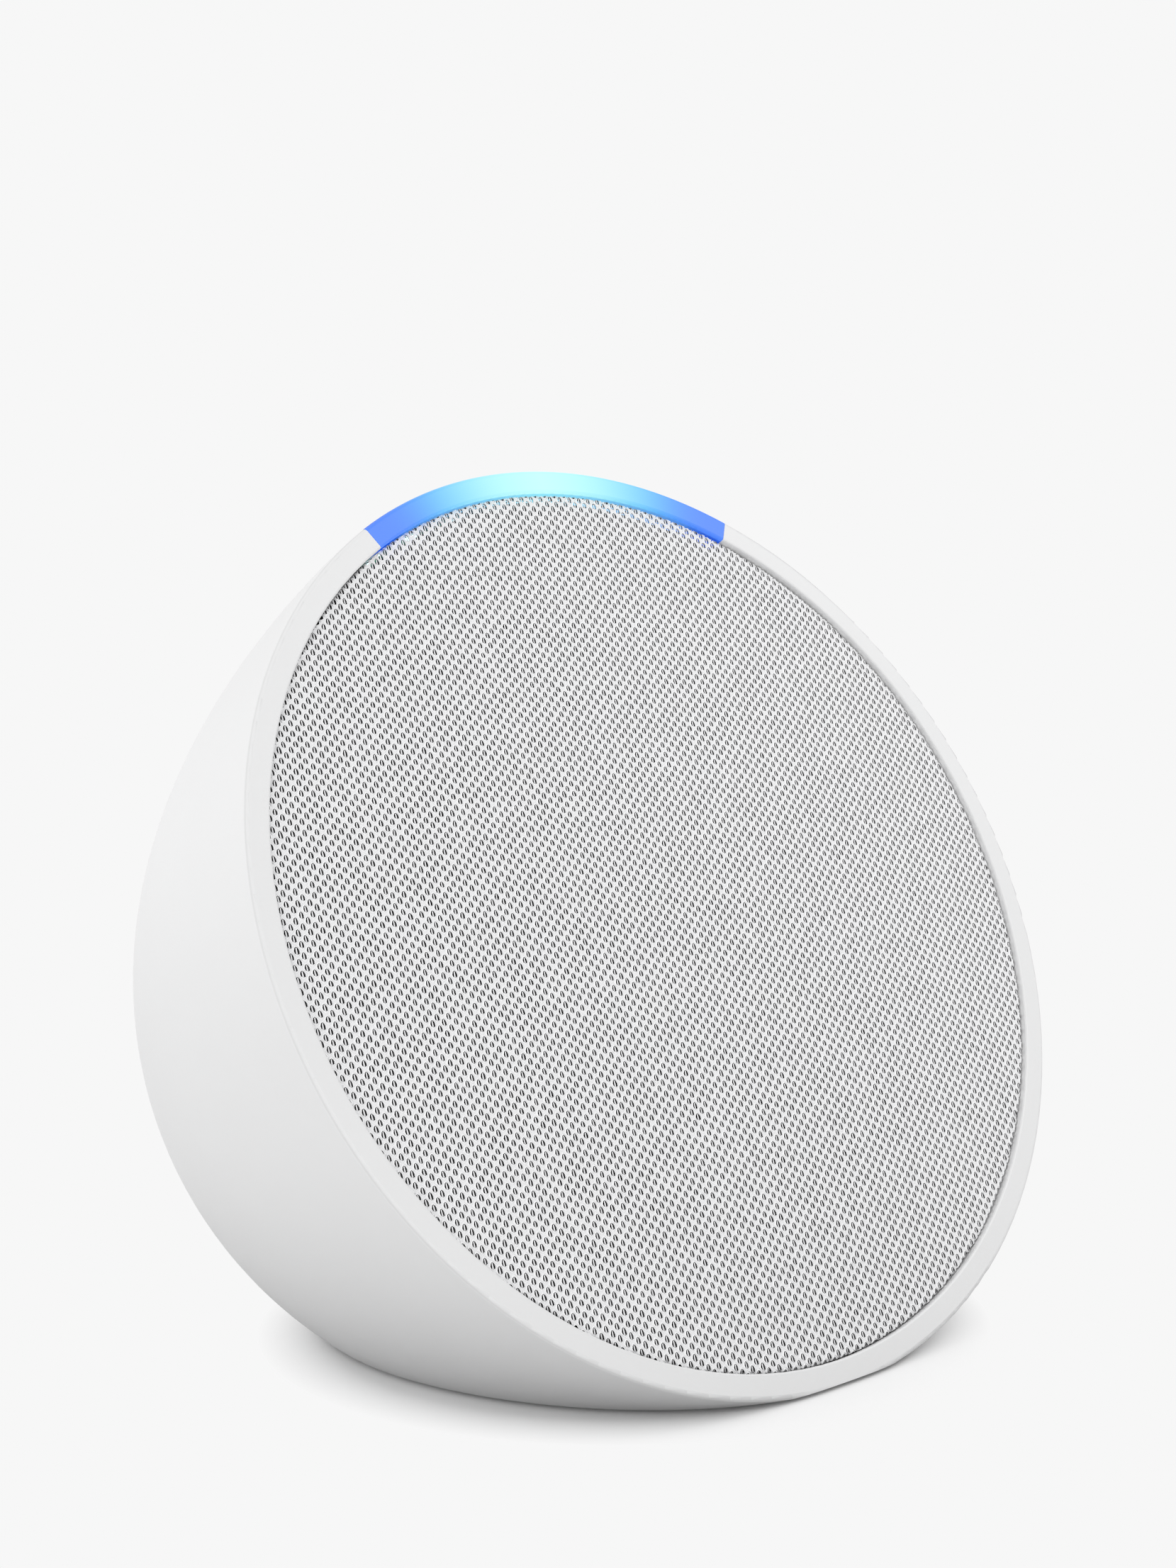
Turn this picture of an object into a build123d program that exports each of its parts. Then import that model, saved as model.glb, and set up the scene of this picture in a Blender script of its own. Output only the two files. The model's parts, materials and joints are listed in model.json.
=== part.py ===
from build123d import *
import math
import os

# A half-sphere smart speaker: a knit-covered round face that leans back, a
# superelliptic dome behind it and a flat base. Millimetres, +Z up, the face
# looks along -Y and the origin is the middle of the footprint on the table.
#
# Most parts are laid out in the face frame: x to the right, v up the face and
# a depth counted back from the front plane.

# ---- driving dimensions ------------------------------------------------------
RIM_RADIUS = 49.5
DOME_DEPTH = 64.0
FACE_TILT = 24.0
FACE_HEIGHT = 45.3
FACE_Y = -22.34
WALL = 2.2
GAP = 0.05
OVERSHOOT = 1.0
SPAN = 60.0

# Front rim and housing
MOUTH_RADIUS = 46.95
MOUTH_DEPTH = 3.2
RIM_EDGE_RADIUS = 0.45
MOUTH_EDGE_RADIUS = 0.2
BASE_Z = 0.4
FLOOR_FRONT_TOP = 1.4
FLOOR_TOP = 2.4
FLOOR_STEP_Y = -35.5

# Screw ledges inside the housing
LEDGE_FRONT = 6.65
LEDGE_BACK = 16.0
LEDGE_WIDTH = 7.0
LEDGE_INNER_RADIUS = 38.6
LEDGE_OUTER_RADIUS = 47.8
LEDGE_PILOT_RADIUS = 1.15
LEDGE_PILOT_END = 13.0

# Screws: head radius, head height, shank radius, length
BAFFLE_SCREW = (1.9, 1.1, 1.1, 7.0)
DRIVER_SCREW = (1.45, 0.9, 0.95, 3.2)
CHAMBER_SCREW = (1.7, 1.1, 0.95, 3.2)
BOARD_SCREW = (1.8, 1.0, 0.9, 3.6)
BUTTON_BOARD_SCREW = (1.7, 1.2, 0.9, 6.8)
JACK_SCREW = (1.7, 1.1, 0.9, 5.0)
SCREW_HOLE_RADIUS = 1.0
PILOT_RADIUS = 0.95

# Foot
FOOT_CENTRE_Y = -6.0
FOOT_HALF_WIDTH = 25.0
FOOT_HALF_LENGTH = 28.0
FOOT_THICKNESS = 1.2
FOOT_EDGE_RADIUS = 0.3

# Light bar
LIGHT_HALF_ANGLE = 29.7
LIGHT_DEPTH = 2.6
SLOT_OUTER_RADIUS = 48.4
SLOT_DEPTH = 7.8
GUIDE_INNER_RADIUS = 47.0
LED_COUNT = 8
LED_SIZE = 1.2
LED_TOP = 4.75
LED_BOARD_TOP = 5.6
LED_BOARD_THICKNESS = 0.8
LED_BOARD_INNER_RADIUS = 43.6
LED_CENTRE_RADIUS = 47.4
LED_SPREAD = 0.88
LED_BRACKET_INNER_RADIUS = 44.4
LIGHT_BAR_MARGIN = 0.06
LED_SLOT_MARGIN = 0.7
GUIDE_MARGIN = 1.2
LED_BOARD_MARGIN = 1.5
LED_BOARD_CLEARANCE = 0.3

# Fabric and grille
FABRIC_RECESS = 0.6
FABRIC_THICKNESS = 0.8
FABRIC_RADIUS = 46.85
FABRIC_SKIRT_END = 2.4
FABRIC_FOLD = 0.4
GRILLE_RADIUS = 46.0
GRILLE_END = 3.4
GRILLE_THICKNESS = 1.2
GRILLE_RIB_RADIUS = 40.0
GRILLE_HOLE_RADIUS = 1.5
GRILLE_HOLE_PITCH = 4.6
GRILLE_HOLE_LIMIT = 35.0

# Front baffle
BAFFLE_FRONT = 3.6
BAFFLE_FLANGE_BACK = 5.4
BAFFLE_FLANGE_RADIUS = 46.3
BAFFLE_WALL_RADIUS = 38.0
BAFFLE_SEAT = 8.7
BAFFLE_BACK = 10.5
BAFFLE_HOLE_RADIUS = 21.75
BAFFLE_SCREW_RADIUS = 42.0
BAFFLE_PAD_BACK = 6.6
BAFFLE_WALL = 1.8
BAFFLE_PAD_RADIUS = 3.2
BAFFLE_HEAD_SEAT = 4.9
BAFFLE_HEAD_RADIUS = 2.1
BAFFLE_BORE_RADIUS = 1.2

# Speaker driver
FLANGE_RADIUS = 24.75
FLANGE_FRONT = 7.05
FLANGE_BACK = 8.2
DRIVER_SCREW_RADIUS = 22.9
ROLL_CENTRE_RADIUS = 18.5
ROLL_OUTER = 1.8
ROLL_THICKNESS = 0.35
CONE_RIM_RADIUS = 16.7
CONE_NECK_RADIUS = 6.75
CONE_NECK_DEPTH = 12.4
COIL_INNER_RADIUS = 6.25
COIL_OUTER_RADIUS = 6.6
DUST_CAP_FRONT = 8.85
DUST_CAP_CURVE = 17.8
DUST_CAP_RADIUS = 8.0
POLE_RADIUS = 5.9
PLATE_HOLE_RADIUS = 6.95
BASKET_RIM_RADIUS = 20.35
BASKET_RIM_END = 8.0
BASKET_SHOULDER_RADIUS = 21.6
BASKET_CONE_END = 13.4
BASKET_THROAT_RADIUS = 16.4
BASKET_LEDGE_RADIUS = 14.4
BASKET_FLOOR = 15.0
BASKET_HUB_RADIUS = 7.4
BASKET_FOOT_RADIUS = 17.4
BASKET_BACK = 16.2
BASKET_WINDOWS = 6
DRIVER_HOLE_RADIUS = 1.05
SPIDER_SEAT = 13.8
SPIDER_RIDGES = 4
SPIDER_OUTER_RADIUS = 16.2
SPIDER_THICKNESS = 0.4
SPIDER_LIFT = 0.5
CONE_THICKNESS = 0.35
FORMER_FRONT = 12.0
FORMER_BACK = 19.6
WINDING_FRONT = 15.6
WINDING_BACK = 19.4
MAGNET_FRONT = 18.2
MAGNET_BACK = 22.2
MAGNET_RADIUS = 13.5
MAGNET_HOLE_RADIUS = 7.6
TOP_PLATE_RADIUS = 13.0
POLE_FRONT = 16.0
YOKE_RADIUS = 13.2
YOKE_EDGE = 0.4
YOKE_BACK = 24.2
TERMINAL_X = 2.2
TERMINAL_V = -15.5
TERMINAL_FRONT = 17.0
TERMINAL_END = 17.4

# Chamber and main board
CHAMBER_RADIUS = 29.0
CHAMBER_FLANGE_RADIUS = 33.5
CHAMBER_WALL = 1.6
CHAMBER_BACK = 33.0
CHAMBER_SCREW_RADIUS = 31.3
CHAMBER_HOLE_RADIUS = 1.1
BOARD_FRONT = 36.0
BOARD_BACK = 37.2
BOARD_RADIUS = 33.0
BOARD_FLAT_V = -27.0
BOARD_HOLE_RADIUS = 1.1
STANDOFF_X = 18.0
STANDOFF_V = 16.0
STANDOFF_RADIUS = 2.4
LEAD_HOLE_V = -20.0
LEAD_HOLE_RADIUS = 2.0
CHIP_V = 4.0
SHIELD_SHEET = 0.25
SHIELD_EDGE = 0.4
PAD_FRONT = 39.0
PAD_BACK = 39.8
SPREADER_BACK = 41.0
POWER_PLUG_X = 8.0
POWER_PLUG_V = -21.5
POWER_PLUG_BACK = 40.6
RIBBON_PLUG_V = 28.2
RIBBON_PLUG_BACK = 38.9
RIBBON_WIDTH = 6.0
RIBBON_THICKNESS = 0.25
RIBBON_BEND = 1.2
BUTTON_RIBBON_X = 10.0

# Buttons
BUTTON_PITCH = 15.0
BUTTON_DEPTH = 15.0
BUTTON_RADIUS = 4.3
BUTTON_EDGE_RADIUS = 0.25
BUTTON_CLEARANCE = 0.2
BUTTON_FLANGE_RADIUS = 5.2
FLANGE_CLEARANCE = 0.3
BUTTON_BOTTOM_V = 41.0
BUTTON_HOLE_LOW_V = 41.5
BUTTON_HOLLOW_RADIUS = 3.1
BUTTON_HOLLOW_TOP_V = 43.6
STEM_TOP_V = 44.0
ABOVE_DOME_V = 52.0
STEM_RADIUS = 1.4
PLUNGER_RADIUS = 0.95
PLUNGER_TOP_V = 40.3
PLUNGER_LENGTH = 1.3
SWITCH_TOP_V = 39.9
SWITCH_WIDTH = 4.6
SWITCH_WELL_V = 38.6
BUTTON_BOARD_TOP_V = 37.9
BUTTON_BOARD_THICKNESS = 1.0
BUTTON_BOARD_DEPTH = 17.35
RETAINER_LOW_V = 40.1
RETAINER_HIGH_V = 40.6
RETAINER_DEPTH = 14.35
STEM_HOLE_RADIUS = 1.8
POST_X = 7.5
POST_RADIUS = 1.9
POST_LOW_V = 40.65
POST_HIGH_V = 47.5
POST_PILOT_LOW_V = 40.0
POST_PILOT_HIGH_V = 44.5
MIC_X = 7.5
MIC_DEPTH = 21.5
MIC_HOLE_RADIUS = 0.6
MIC_HEIGHT = 1.1
MIC_PORT_RADIUS = 0.4
MIC_BOOT_RADIUS = 1.9

# Power inlet
JACK_Z = 17.0
JACK_FACE_Y = 29.5
JACK_BACK_Y = 19.6
JACK_RADIUS = 5.2
JACK_BORE_RADIUS = 2.15
JACK_BORE_BACK_Y = 21.5
JACK_ROOT_RADIUS = 1.2
JACK_ROOT_END_Y = 21.9
JACK_PIN_RADIUS = 0.85
JACK_PIN_TIP_Y = 28.7
RECESS_RADIUS = 5.4
RECESS_FRONT_Y = 20.0
COLLAR_RADIUS = 6.9
COLLAR_FRONT_Y = 24.0
OUTSIDE_Y = 50.0
SKIN = 0.6
JACK_POST_X = 9.5
JACK_POST_RADIUS = 2.0
JACK_PILOT_END_Y = 25.0
JACK_BOARD_THICKNESS = 1.0
JACK_BOARD_HALF_WIDTH = 12.0
JACK_BOARD_HALF_HEIGHT = 6.5
LEAD_START_Z = 12.4

BUTTONS = {
    "volume_down": -BUTTON_PITCH,
    "mic_off": 0.0,
    "volume_up": BUTTON_PITCH,
}
DIAGONALS = (45, 135, 225, 315)
TILT = math.radians(FACE_TILT)
FACE = Location(
    Plane(
        origin=(0, FACE_Y, FACE_HEIGHT),
        x_dir=(1, 0, 0),
        z_dir=(0, -math.cos(TILT), math.sin(TILT)),
    )
)


# ---- building blocks in the face frame -----------------------------------------
def polar(radius, degrees):
    """A point on the face, counted clockwise from its top."""
    angle = math.radians(degrees)
    return radius * math.sin(angle), radius * math.cos(angle)


def disc(radius, front, back, x=0.0, v=0.0):
    """A cylinder square to the face between two depths."""
    return Pos(x, v, -(front + back) / 2) * Cylinder(radius, back - front)


def ring(outer, inner, front, back, x=0.0, v=0.0):
    return disc(outer, front, back, x, v) - disc(inner, front, back, x, v)


def block(width, height, front, back, x=0.0, v=0.0):
    """A box square to the face, centred on x and v."""
    return Pos(x, v, -(front + back) / 2) * Box(width, height, back - front)


def upright(radius, low, high, x, depth):
    """A cylinder that runs up the face, between two heights."""
    return Pos(x, (low + high) / 2, -depth) * Rot(90, 0, 0) * Cylinder(radius, high - low)


def turned(*points):
    """A solid of revolution about the face axis from (radius, depth) points."""
    outline = Polyline(*[(radius, 0, -depth) for radius, depth in points], close=True)
    return revolve(make_face(outline), Axis.Z)


def wedge(half_angle, front, back):
    """The sector of a disc that lies within half_angle of the face's top."""
    reach = 2 * RIM_RADIUS
    x, v = polar(reach, half_angle)
    outline = Polyline((0, 0), (x, v), (-x, v), close=True)
    return Pos(0, 0, -back) * extrude(make_face(outline), amount=back - front)


def arc_bar(outer, inner, front, back, half_angle):
    return ring(outer, inner, front, back) & wedge(half_angle, front, back)


def screw(head_radius, head_height, shank_radius, length):
    """A pan-head screw: the head's underside at 0, the shank towards -Z."""
    head = Pos(0, 0, head_height / 2) * Cylinder(head_radius, head_height)
    shank = Pos(0, 0, -length / 2) * Cylinder(shank_radius, length)
    slot = Pos(0, 0, head_height) * Box(head_radius * 1.1, head_radius * 0.3, 0.5)
    cross = Rot(0, 0, 90) * slot
    return head + shank - slot - cross


def group(solids):
    return Compound(children=list(solids))


# ---- the dome --------------------------------------------------------------------
def dome_radius(depth, shrink=0.0):
    share = depth / (DOME_DEPTH - shrink)
    return (RIM_RADIUS - shrink) * (1 - share**2) ** (1 / 3)


def dome_depth(radius, shrink=0.0):
    share = radius / (RIM_RADIUS - shrink)
    return (DOME_DEPTH - shrink) * math.sqrt(1 - share**3)


def dome_curve(start, shrink=0.0):
    """The dome's outline from the depth 'start' to its pole."""
    sides = [start, 8, 16, 24, 32, 40, 46]
    caps = [34, 29, 23, 16, 8, 0]
    points = [(dome_radius(depth, shrink), 0, -depth) for depth in sides]
    points += [(radius, 0, -dome_depth(radius, shrink)) for radius in caps]
    return Spline(*points, tangents=((0, 0, -1), (-1, 0, 0)))


def dome_solid(shrink=0.0):
    """The full dome, moved in from its surface by 'shrink'."""
    curve = dome_curve(0, shrink)
    front = Line((0, 0, 0), (RIM_RADIUS - shrink, 0, 0))
    axis = Line(curve @ 1, (0, 0, 0))
    return revolve(make_face([front, curve, axis]), Axis.Z)


def rimmed_solid():
    """The dome with its front edge rounded over."""
    edge = RIM_EDGE_RADIUS
    flat = Line((0, 0, 0), (RIM_RADIUS - edge, 0, 0))
    corner = ThreePointArc(
        (RIM_RADIUS - edge, 0, 0),
        (RIM_RADIUS - edge * (1 - math.sqrt(0.5)), 0, -edge * (1 - math.sqrt(0.5))),
        (dome_radius(edge), 0, -edge),
    )
    curve = dome_curve(edge)
    axis = Line(curve @ 1, (0, 0, 0))
    return revolve(make_face([flat, corner, curve, axis]), Axis.Z)


def mouth_solid():
    """The round recess in the face, with its softened front edge."""
    edge = MOUTH_EDGE_RADIUS
    return turned(
        (0, -OVERSHOOT),
        (MOUTH_RADIUS + edge, -OVERSHOOT),
        (MOUTH_RADIUS + edge, 0),
        (MOUTH_RADIUS + edge * 0.3, edge * 0.3),
        (MOUTH_RADIUS, edge),
        (MOUTH_RADIUS, MOUTH_DEPTH),
        (0, MOUTH_DEPTH),
    )


def world_box(low, high):
    size = [high[i] - low[i] for i in range(3)]
    centre = [(high[i] + low[i]) / 2 for i in range(3)]
    return Pos(*centre) * Box(*size)


def along_y(radius, front, back, x=0.0):
    """A cylinder along Y at the power inlet's height."""
    middle = (front + back) / 2
    return Pos(x, middle, JACK_Z) * Rot(90, 0, 0) * Cylinder(radius, back - front)


GROUND = world_box((-SPAN, -SPAN, -SPAN), (SPAN, SPAN, BASE_Z))
FLOOR_FRONT = world_box((-SPAN, -SPAN, BASE_Z), (SPAN, FLOOR_STEP_Y, FLOOR_FRONT_TOP))
FLOOR_MAIN = world_box((-SPAN, FLOOR_STEP_Y, BASE_Z), (SPAN, SPAN, FLOOR_TOP))
FLOOR = FLOOR_FRONT + FLOOR_MAIN
ABOVE_FLOOR = world_box((-SPAN, -SPAN, FLOOR_FRONT_TOP + GAP), (SPAN, SPAN, 2 * SPAN))


# ---- housing and foot ---------------------------------------------------------------
def foot_outline(grow=0.0):
    return Ellipse(FOOT_HALF_WIDTH + grow, FOOT_HALF_LENGTH + grow)


def make_foot_pad():
    pad = extrude(foot_outline(), amount=FOOT_THICKNESS)
    rim = pad.edges().group_by(Axis.Z)[0]
    pad = chamfer(rim, FOOT_EDGE_RADIUS)
    return Pos(0, FOOT_CENTRE_Y, 0) * pad


def screw_ledge(degrees):
    """A block on the housing wall that takes one baffle screw."""
    length = LEDGE_OUTER_RADIUS - LEDGE_INNER_RADIUS
    middle = (LEDGE_OUTER_RADIUS + LEDGE_INNER_RADIUS) / 2
    ledge = block(LEDGE_WIDTH, length, LEDGE_FRONT, LEDGE_BACK, 0, middle)
    pilot = disc(LEDGE_PILOT_RADIUS, LEDGE_FRONT, LEDGE_PILOT_END, 0, BAFFLE_SCREW_RADIUS)
    return Rot(0, 0, -degrees) * (ledge - pilot)


def button_posts():
    posts = []
    for x in (-POST_X, POST_X):
        post = upright(POST_RADIUS, POST_LOW_V, POST_HIGH_V, x, BUTTON_DEPTH)
        pilot = upright(PILOT_RADIUS, POST_PILOT_LOW_V, POST_PILOT_HIGH_V, x, BUTTON_DEPTH)
        posts.append(post - pilot)
    return posts


def make_housing():
    inside = dome_solid()
    cavity = dome_solid(WALL) - disc(RIM_RADIUS, -OVERSHOOT, MOUTH_DEPTH)
    cavity += mouth_solid()
    outer = RIM_RADIUS + OVERSHOOT
    inner = MOUTH_RADIUS - OVERSHOOT
    slot_angle = LIGHT_HALF_ANGLE - LED_SLOT_MARGIN
    light_slot = arc_bar(outer, inner, -OVERSHOOT, LIGHT_DEPTH, LIGHT_HALF_ANGLE)
    led_slot = arc_bar(SLOT_OUTER_RADIUS, inner, LIGHT_DEPTH, SLOT_DEPTH, slot_angle)
    shell = FACE * rimmed_solid()
    shell = shell - (FACE * cavity - FLOOR) - GROUND
    for ledge in [screw_ledge(degrees) for degrees in DIAGONALS] + button_posts():
        shell += FACE * (ledge & inside)
    shell -= FACE * light_slot
    shell -= FACE * led_slot
    for x in BUTTONS.values():
        hole_radius = BUTTON_RADIUS + BUTTON_CLEARANCE
        shell -= FACE * upright(hole_radius, BUTTON_HOLE_LOW_V, ABOVE_DOME_V, x, BUTTON_DEPTH)
    for x in (-MIC_X, MIC_X):
        shell -= FACE * upright(MIC_HOLE_RADIUS, BUTTON_HOLE_LOW_V, ABOVE_DOME_V, x, MIC_DEPTH)
    inside_wall = FACE * dome_solid(SKIN)
    shell += along_y(COLLAR_RADIUS, COLLAR_FRONT_Y, OUTSIDE_Y) & inside_wall
    for x in (-JACK_POST_X, JACK_POST_X):
        shell += along_y(JACK_POST_RADIUS, JACK_BACK_Y, OUTSIDE_Y, x) & inside_wall
        shell -= along_y(PILOT_RADIUS, JACK_BACK_Y - OVERSHOOT, JACK_PILOT_END_Y, x)
    shell -= along_y(RECESS_RADIUS, RECESS_FRONT_Y, OUTSIDE_Y)
    pocket = extrude(foot_outline(2 * GAP), amount=FOOT_THICKNESS)
    return shell - Pos(0, FOOT_CENTRE_Y, 0) * pocket


# ---- light bar ----------------------------------------------------------------------
def make_light_bar():
    outer = RIM_RADIUS + OVERSHOOT
    inner = MOUTH_RADIUS - OVERSHOOT
    half_angle = LIGHT_HALF_ANGLE - LIGHT_BAR_MARGIN
    sector = arc_bar(outer, inner, -OVERSHOOT, LIGHT_DEPTH - GAP, half_angle)
    return FACE * ((sector - mouth_solid()) & rimmed_solid())


def make_light_guide():
    outer = SLOT_OUTER_RADIUS - 2 * GAP
    back = LED_TOP - 2 * GAP
    half_angle = LIGHT_HALF_ANGLE - GUIDE_MARGIN
    return FACE * arc_bar(outer, GUIDE_INNER_RADIUS, LIGHT_DEPTH, back, half_angle)


def make_led_board():
    outer = SLOT_OUTER_RADIUS - LED_BOARD_CLEARANCE
    back = LED_BOARD_TOP + LED_BOARD_THICKNESS
    half_angle = LIGHT_HALF_ANGLE - LED_BOARD_MARGIN
    return FACE * arc_bar(outer, LED_BOARD_INNER_RADIUS, LED_BOARD_TOP, back, half_angle)


def make_led_packages():
    packages = []
    for index in range(LED_COUNT):
        degrees = LIGHT_HALF_ANGLE * LED_SPREAD * (2 * index / (LED_COUNT - 1) - 1)
        led = block(LED_SIZE * 1.3, LED_SIZE, LED_TOP, LED_BOARD_TOP, 0, LED_CENTRE_RADIUS)
        packages.append(FACE * Rot(0, 0, -degrees) * led)
    return group(packages)


def make_led_bracket():
    outer = SLOT_OUTER_RADIUS - LED_BOARD_CLEARANCE
    front = LED_BOARD_TOP + LED_BOARD_THICKNESS
    back = SLOT_DEPTH - 4 * GAP
    half_angle = LIGHT_HALF_ANGLE - LED_BOARD_MARGIN
    return FACE * arc_bar(outer, LED_BRACKET_INNER_RADIUS, front, back, half_angle)


# ---- fabric, grille and baffle ----------------------------------------------------------
def make_grille_fabric():
    front = FABRIC_RECESS
    skin = front + FABRIC_THICKNESS
    fabric = turned(
        (0, front),
        (FABRIC_RADIUS - FABRIC_FOLD, front),
        (FABRIC_RADIUS, front + FABRIC_FOLD),
        (FABRIC_RADIUS, FABRIC_SKIRT_END),
        (GRILLE_RADIUS + GAP, FABRIC_SKIRT_END),
        (GRILLE_RADIUS + GAP, skin),
        (0, skin),
    )
    return FACE * fabric


def grille_hole_centres():
    """A triangular lattice of hole centres within the grille's open area."""
    row_step = GRILLE_HOLE_PITCH * math.sqrt(3) / 2
    reach = int(GRILLE_HOLE_LIMIT / row_step) + 1
    centres = []
    for row in range(-reach, reach + 1):
        shift = GRILLE_HOLE_PITCH / 2 * (row % 2)
        for column in range(-reach, reach + 1):
            x = column * GRILLE_HOLE_PITCH + shift
            v = row * row_step
            if math.hypot(x, v) < GRILLE_HOLE_LIMIT:
                centres.append((x, v))
    return centres


def make_grille_plate():
    front = FABRIC_RECESS + FABRIC_THICKNESS
    plate = Circle(GRILLE_RADIUS)
    holes = [Pos(x, v) * Circle(GRILLE_HOLE_RADIUS) for x, v in grille_hole_centres()]
    back = front + GRILLE_THICKNESS
    sheet = extrude(plate - holes, amount=GRILLE_THICKNESS)
    rib = ring(GRILLE_RADIUS, GRILLE_RIB_RADIUS, back, GRILLE_END)
    return FACE * (Pos(0, 0, -back) * sheet + rib)


def make_front_baffle():
    baffle = turned(
        (BAFFLE_HOLE_RADIUS, BAFFLE_SEAT),
        (BAFFLE_WALL_RADIUS - BAFFLE_WALL, BAFFLE_SEAT),
        (BAFFLE_WALL_RADIUS - BAFFLE_WALL, BAFFLE_FRONT),
        (BAFFLE_FLANGE_RADIUS, BAFFLE_FRONT),
        (BAFFLE_FLANGE_RADIUS, BAFFLE_FLANGE_BACK),
        (BAFFLE_WALL_RADIUS, BAFFLE_FLANGE_BACK),
        (BAFFLE_WALL_RADIUS, BAFFLE_BACK),
        (BAFFLE_HOLE_RADIUS, BAFFLE_BACK),
    )
    for degrees in DIAGONALS:
        x, v = polar(BAFFLE_SCREW_RADIUS, degrees)
        baffle += disc(BAFFLE_PAD_RADIUS, BAFFLE_FLANGE_BACK, BAFFLE_PAD_BACK, x, v)
        front = BAFFLE_FRONT - OVERSHOOT
        baffle -= disc(BAFFLE_BORE_RADIUS, front, BAFFLE_PAD_BACK + OVERSHOOT, x, v)
        baffle -= disc(BAFFLE_HEAD_RADIUS, front, BAFFLE_HEAD_SEAT, x, v)
        for radius in (DRIVER_SCREW_RADIUS, CHAMBER_SCREW_RADIUS):
            x, v = polar(radius, degrees)
            front = BAFFLE_SEAT - OVERSHOOT
            baffle -= disc(SCREW_HOLE_RADIUS, front, BAFFLE_BACK + OVERSHOOT, x, v)
    return FACE * baffle & ABOVE_FLOOR


def make_baffle_screws():
    body = screw(*BAFFLE_SCREW)
    places = [polar(BAFFLE_SCREW_RADIUS, degrees) for degrees in DIAGONALS]
    return group([FACE * Pos(x, v, -BAFFLE_HEAD_SEAT) * body for x, v in places])


# ---- buttons, switches and microphones ------------------------------------------------------
def make_button(x):
    cap = upright(BUTTON_RADIUS, BUTTON_BOTTOM_V, ABOVE_DOME_V, x, BUTTON_DEPTH) & dome_solid()
    crown = cap.edges().filter_by(GeomType.BSPLINE)
    cap = fillet(crown, BUTTON_EDGE_RADIUS)
    flange = upright(BUTTON_FLANGE_RADIUS, BUTTON_BOTTOM_V, ABOVE_DOME_V, x, BUTTON_DEPTH)
    cap += flange & dome_solid(WALL + FLANGE_CLEARANCE)
    bottom = BUTTON_BOTTOM_V - OVERSHOOT
    hollow = upright(BUTTON_HOLLOW_RADIUS, bottom, BUTTON_HOLLOW_TOP_V, x, BUTTON_DEPTH)
    stem = upright(STEM_RADIUS, PLUNGER_TOP_V, STEM_TOP_V, x, BUTTON_DEPTH)
    return FACE * (cap - hollow + stem)


def make_plunger(x):
    low = PLUNGER_TOP_V - PLUNGER_LENGTH
    return FACE * upright(PLUNGER_RADIUS, low, PLUNGER_TOP_V, x, BUTTON_DEPTH)


def make_button_retainer():
    low = RETAINER_LOW_V
    high = RETAINER_HIGH_V
    plate = Pos(0, (low + high) / 2, -RETAINER_DEPTH) * Box(39.0, high - low, 9.1)
    for x in BUTTONS.values():
        plate -= upright(STEM_HOLE_RADIUS, low, high, x, BUTTON_DEPTH)
    for x in (-POST_X, POST_X):
        plate += upright(POST_RADIUS, BUTTON_BOARD_TOP_V, low, x, BUTTON_DEPTH)
        plate -= upright(SCREW_HOLE_RADIUS, BUTTON_BOARD_TOP_V, high, x, BUTTON_DEPTH)
    return FACE * plate


def make_button_board():
    middle = BUTTON_BOARD_TOP_V - BUTTON_BOARD_THICKNESS / 2
    board = Pos(0, middle, -BUTTON_BOARD_DEPTH) * Box(40.0, BUTTON_BOARD_THICKNESS, 13.3)
    board -= Pos(0, middle, -11.0) * Box(6.8, 2 * BUTTON_BOARD_THICKNESS, 3.0)
    low = BUTTON_BOARD_TOP_V - BUTTON_BOARD_THICKNESS
    for x in (-POST_X, POST_X):
        board -= upright(SCREW_HOLE_RADIUS, low, BUTTON_BOARD_TOP_V, x, BUTTON_DEPTH)
    return FACE * board


def make_switch_bodies():
    height = SWITCH_TOP_V - BUTTON_BOARD_TOP_V
    bodies = []
    for x in BUTTONS.values():
        place = Pos(x, BUTTON_BOARD_TOP_V + height / 2, -BUTTON_DEPTH)
        body = place * Box(SWITCH_WIDTH, height, SWITCH_WIDTH)
        well = upright(PLUNGER_RADIUS + 2 * GAP, SWITCH_WELL_V, SWITCH_TOP_V, x, BUTTON_DEPTH)
        bodies.append(FACE * (body - well))
    return group(bodies)


def make_button_board_screws():
    under_board = BUTTON_BOARD_TOP_V - BUTTON_BOARD_THICKNESS
    body = Rot(90, 0, 0) * screw(*BUTTON_BOARD_SCREW)
    return group([FACE * Pos(x, under_board, -BUTTON_DEPTH) * body for x in (-POST_X, POST_X)])


def make_microphones():
    bodies = []
    for x in (-MIC_X, MIC_X):
        can = Pos(x, BUTTON_BOARD_TOP_V + MIC_HEIGHT / 2, -MIC_DEPTH) * Box(4.0, MIC_HEIGHT, 3.0)
        top = BUTTON_BOARD_TOP_V + MIC_HEIGHT
        port = upright(MIC_PORT_RADIUS, top - MIC_PORT_RADIUS, top, x, MIC_DEPTH)
        bodies.append(FACE * (can - port))
    return group(bodies)


def make_mic_boots():
    boots = []
    low = BUTTON_BOARD_TOP_V + MIC_HEIGHT
    for x in (-MIC_X, MIC_X):
        boot = upright(MIC_BOOT_RADIUS, low, ABOVE_DOME_V, x, MIC_DEPTH)
        boot -= upright(MIC_HOLE_RADIUS, low, ABOVE_DOME_V, x, MIC_DEPTH)
        boots.append(FACE * (boot & dome_solid(WALL + GAP)))
    return group(boots)


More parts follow.
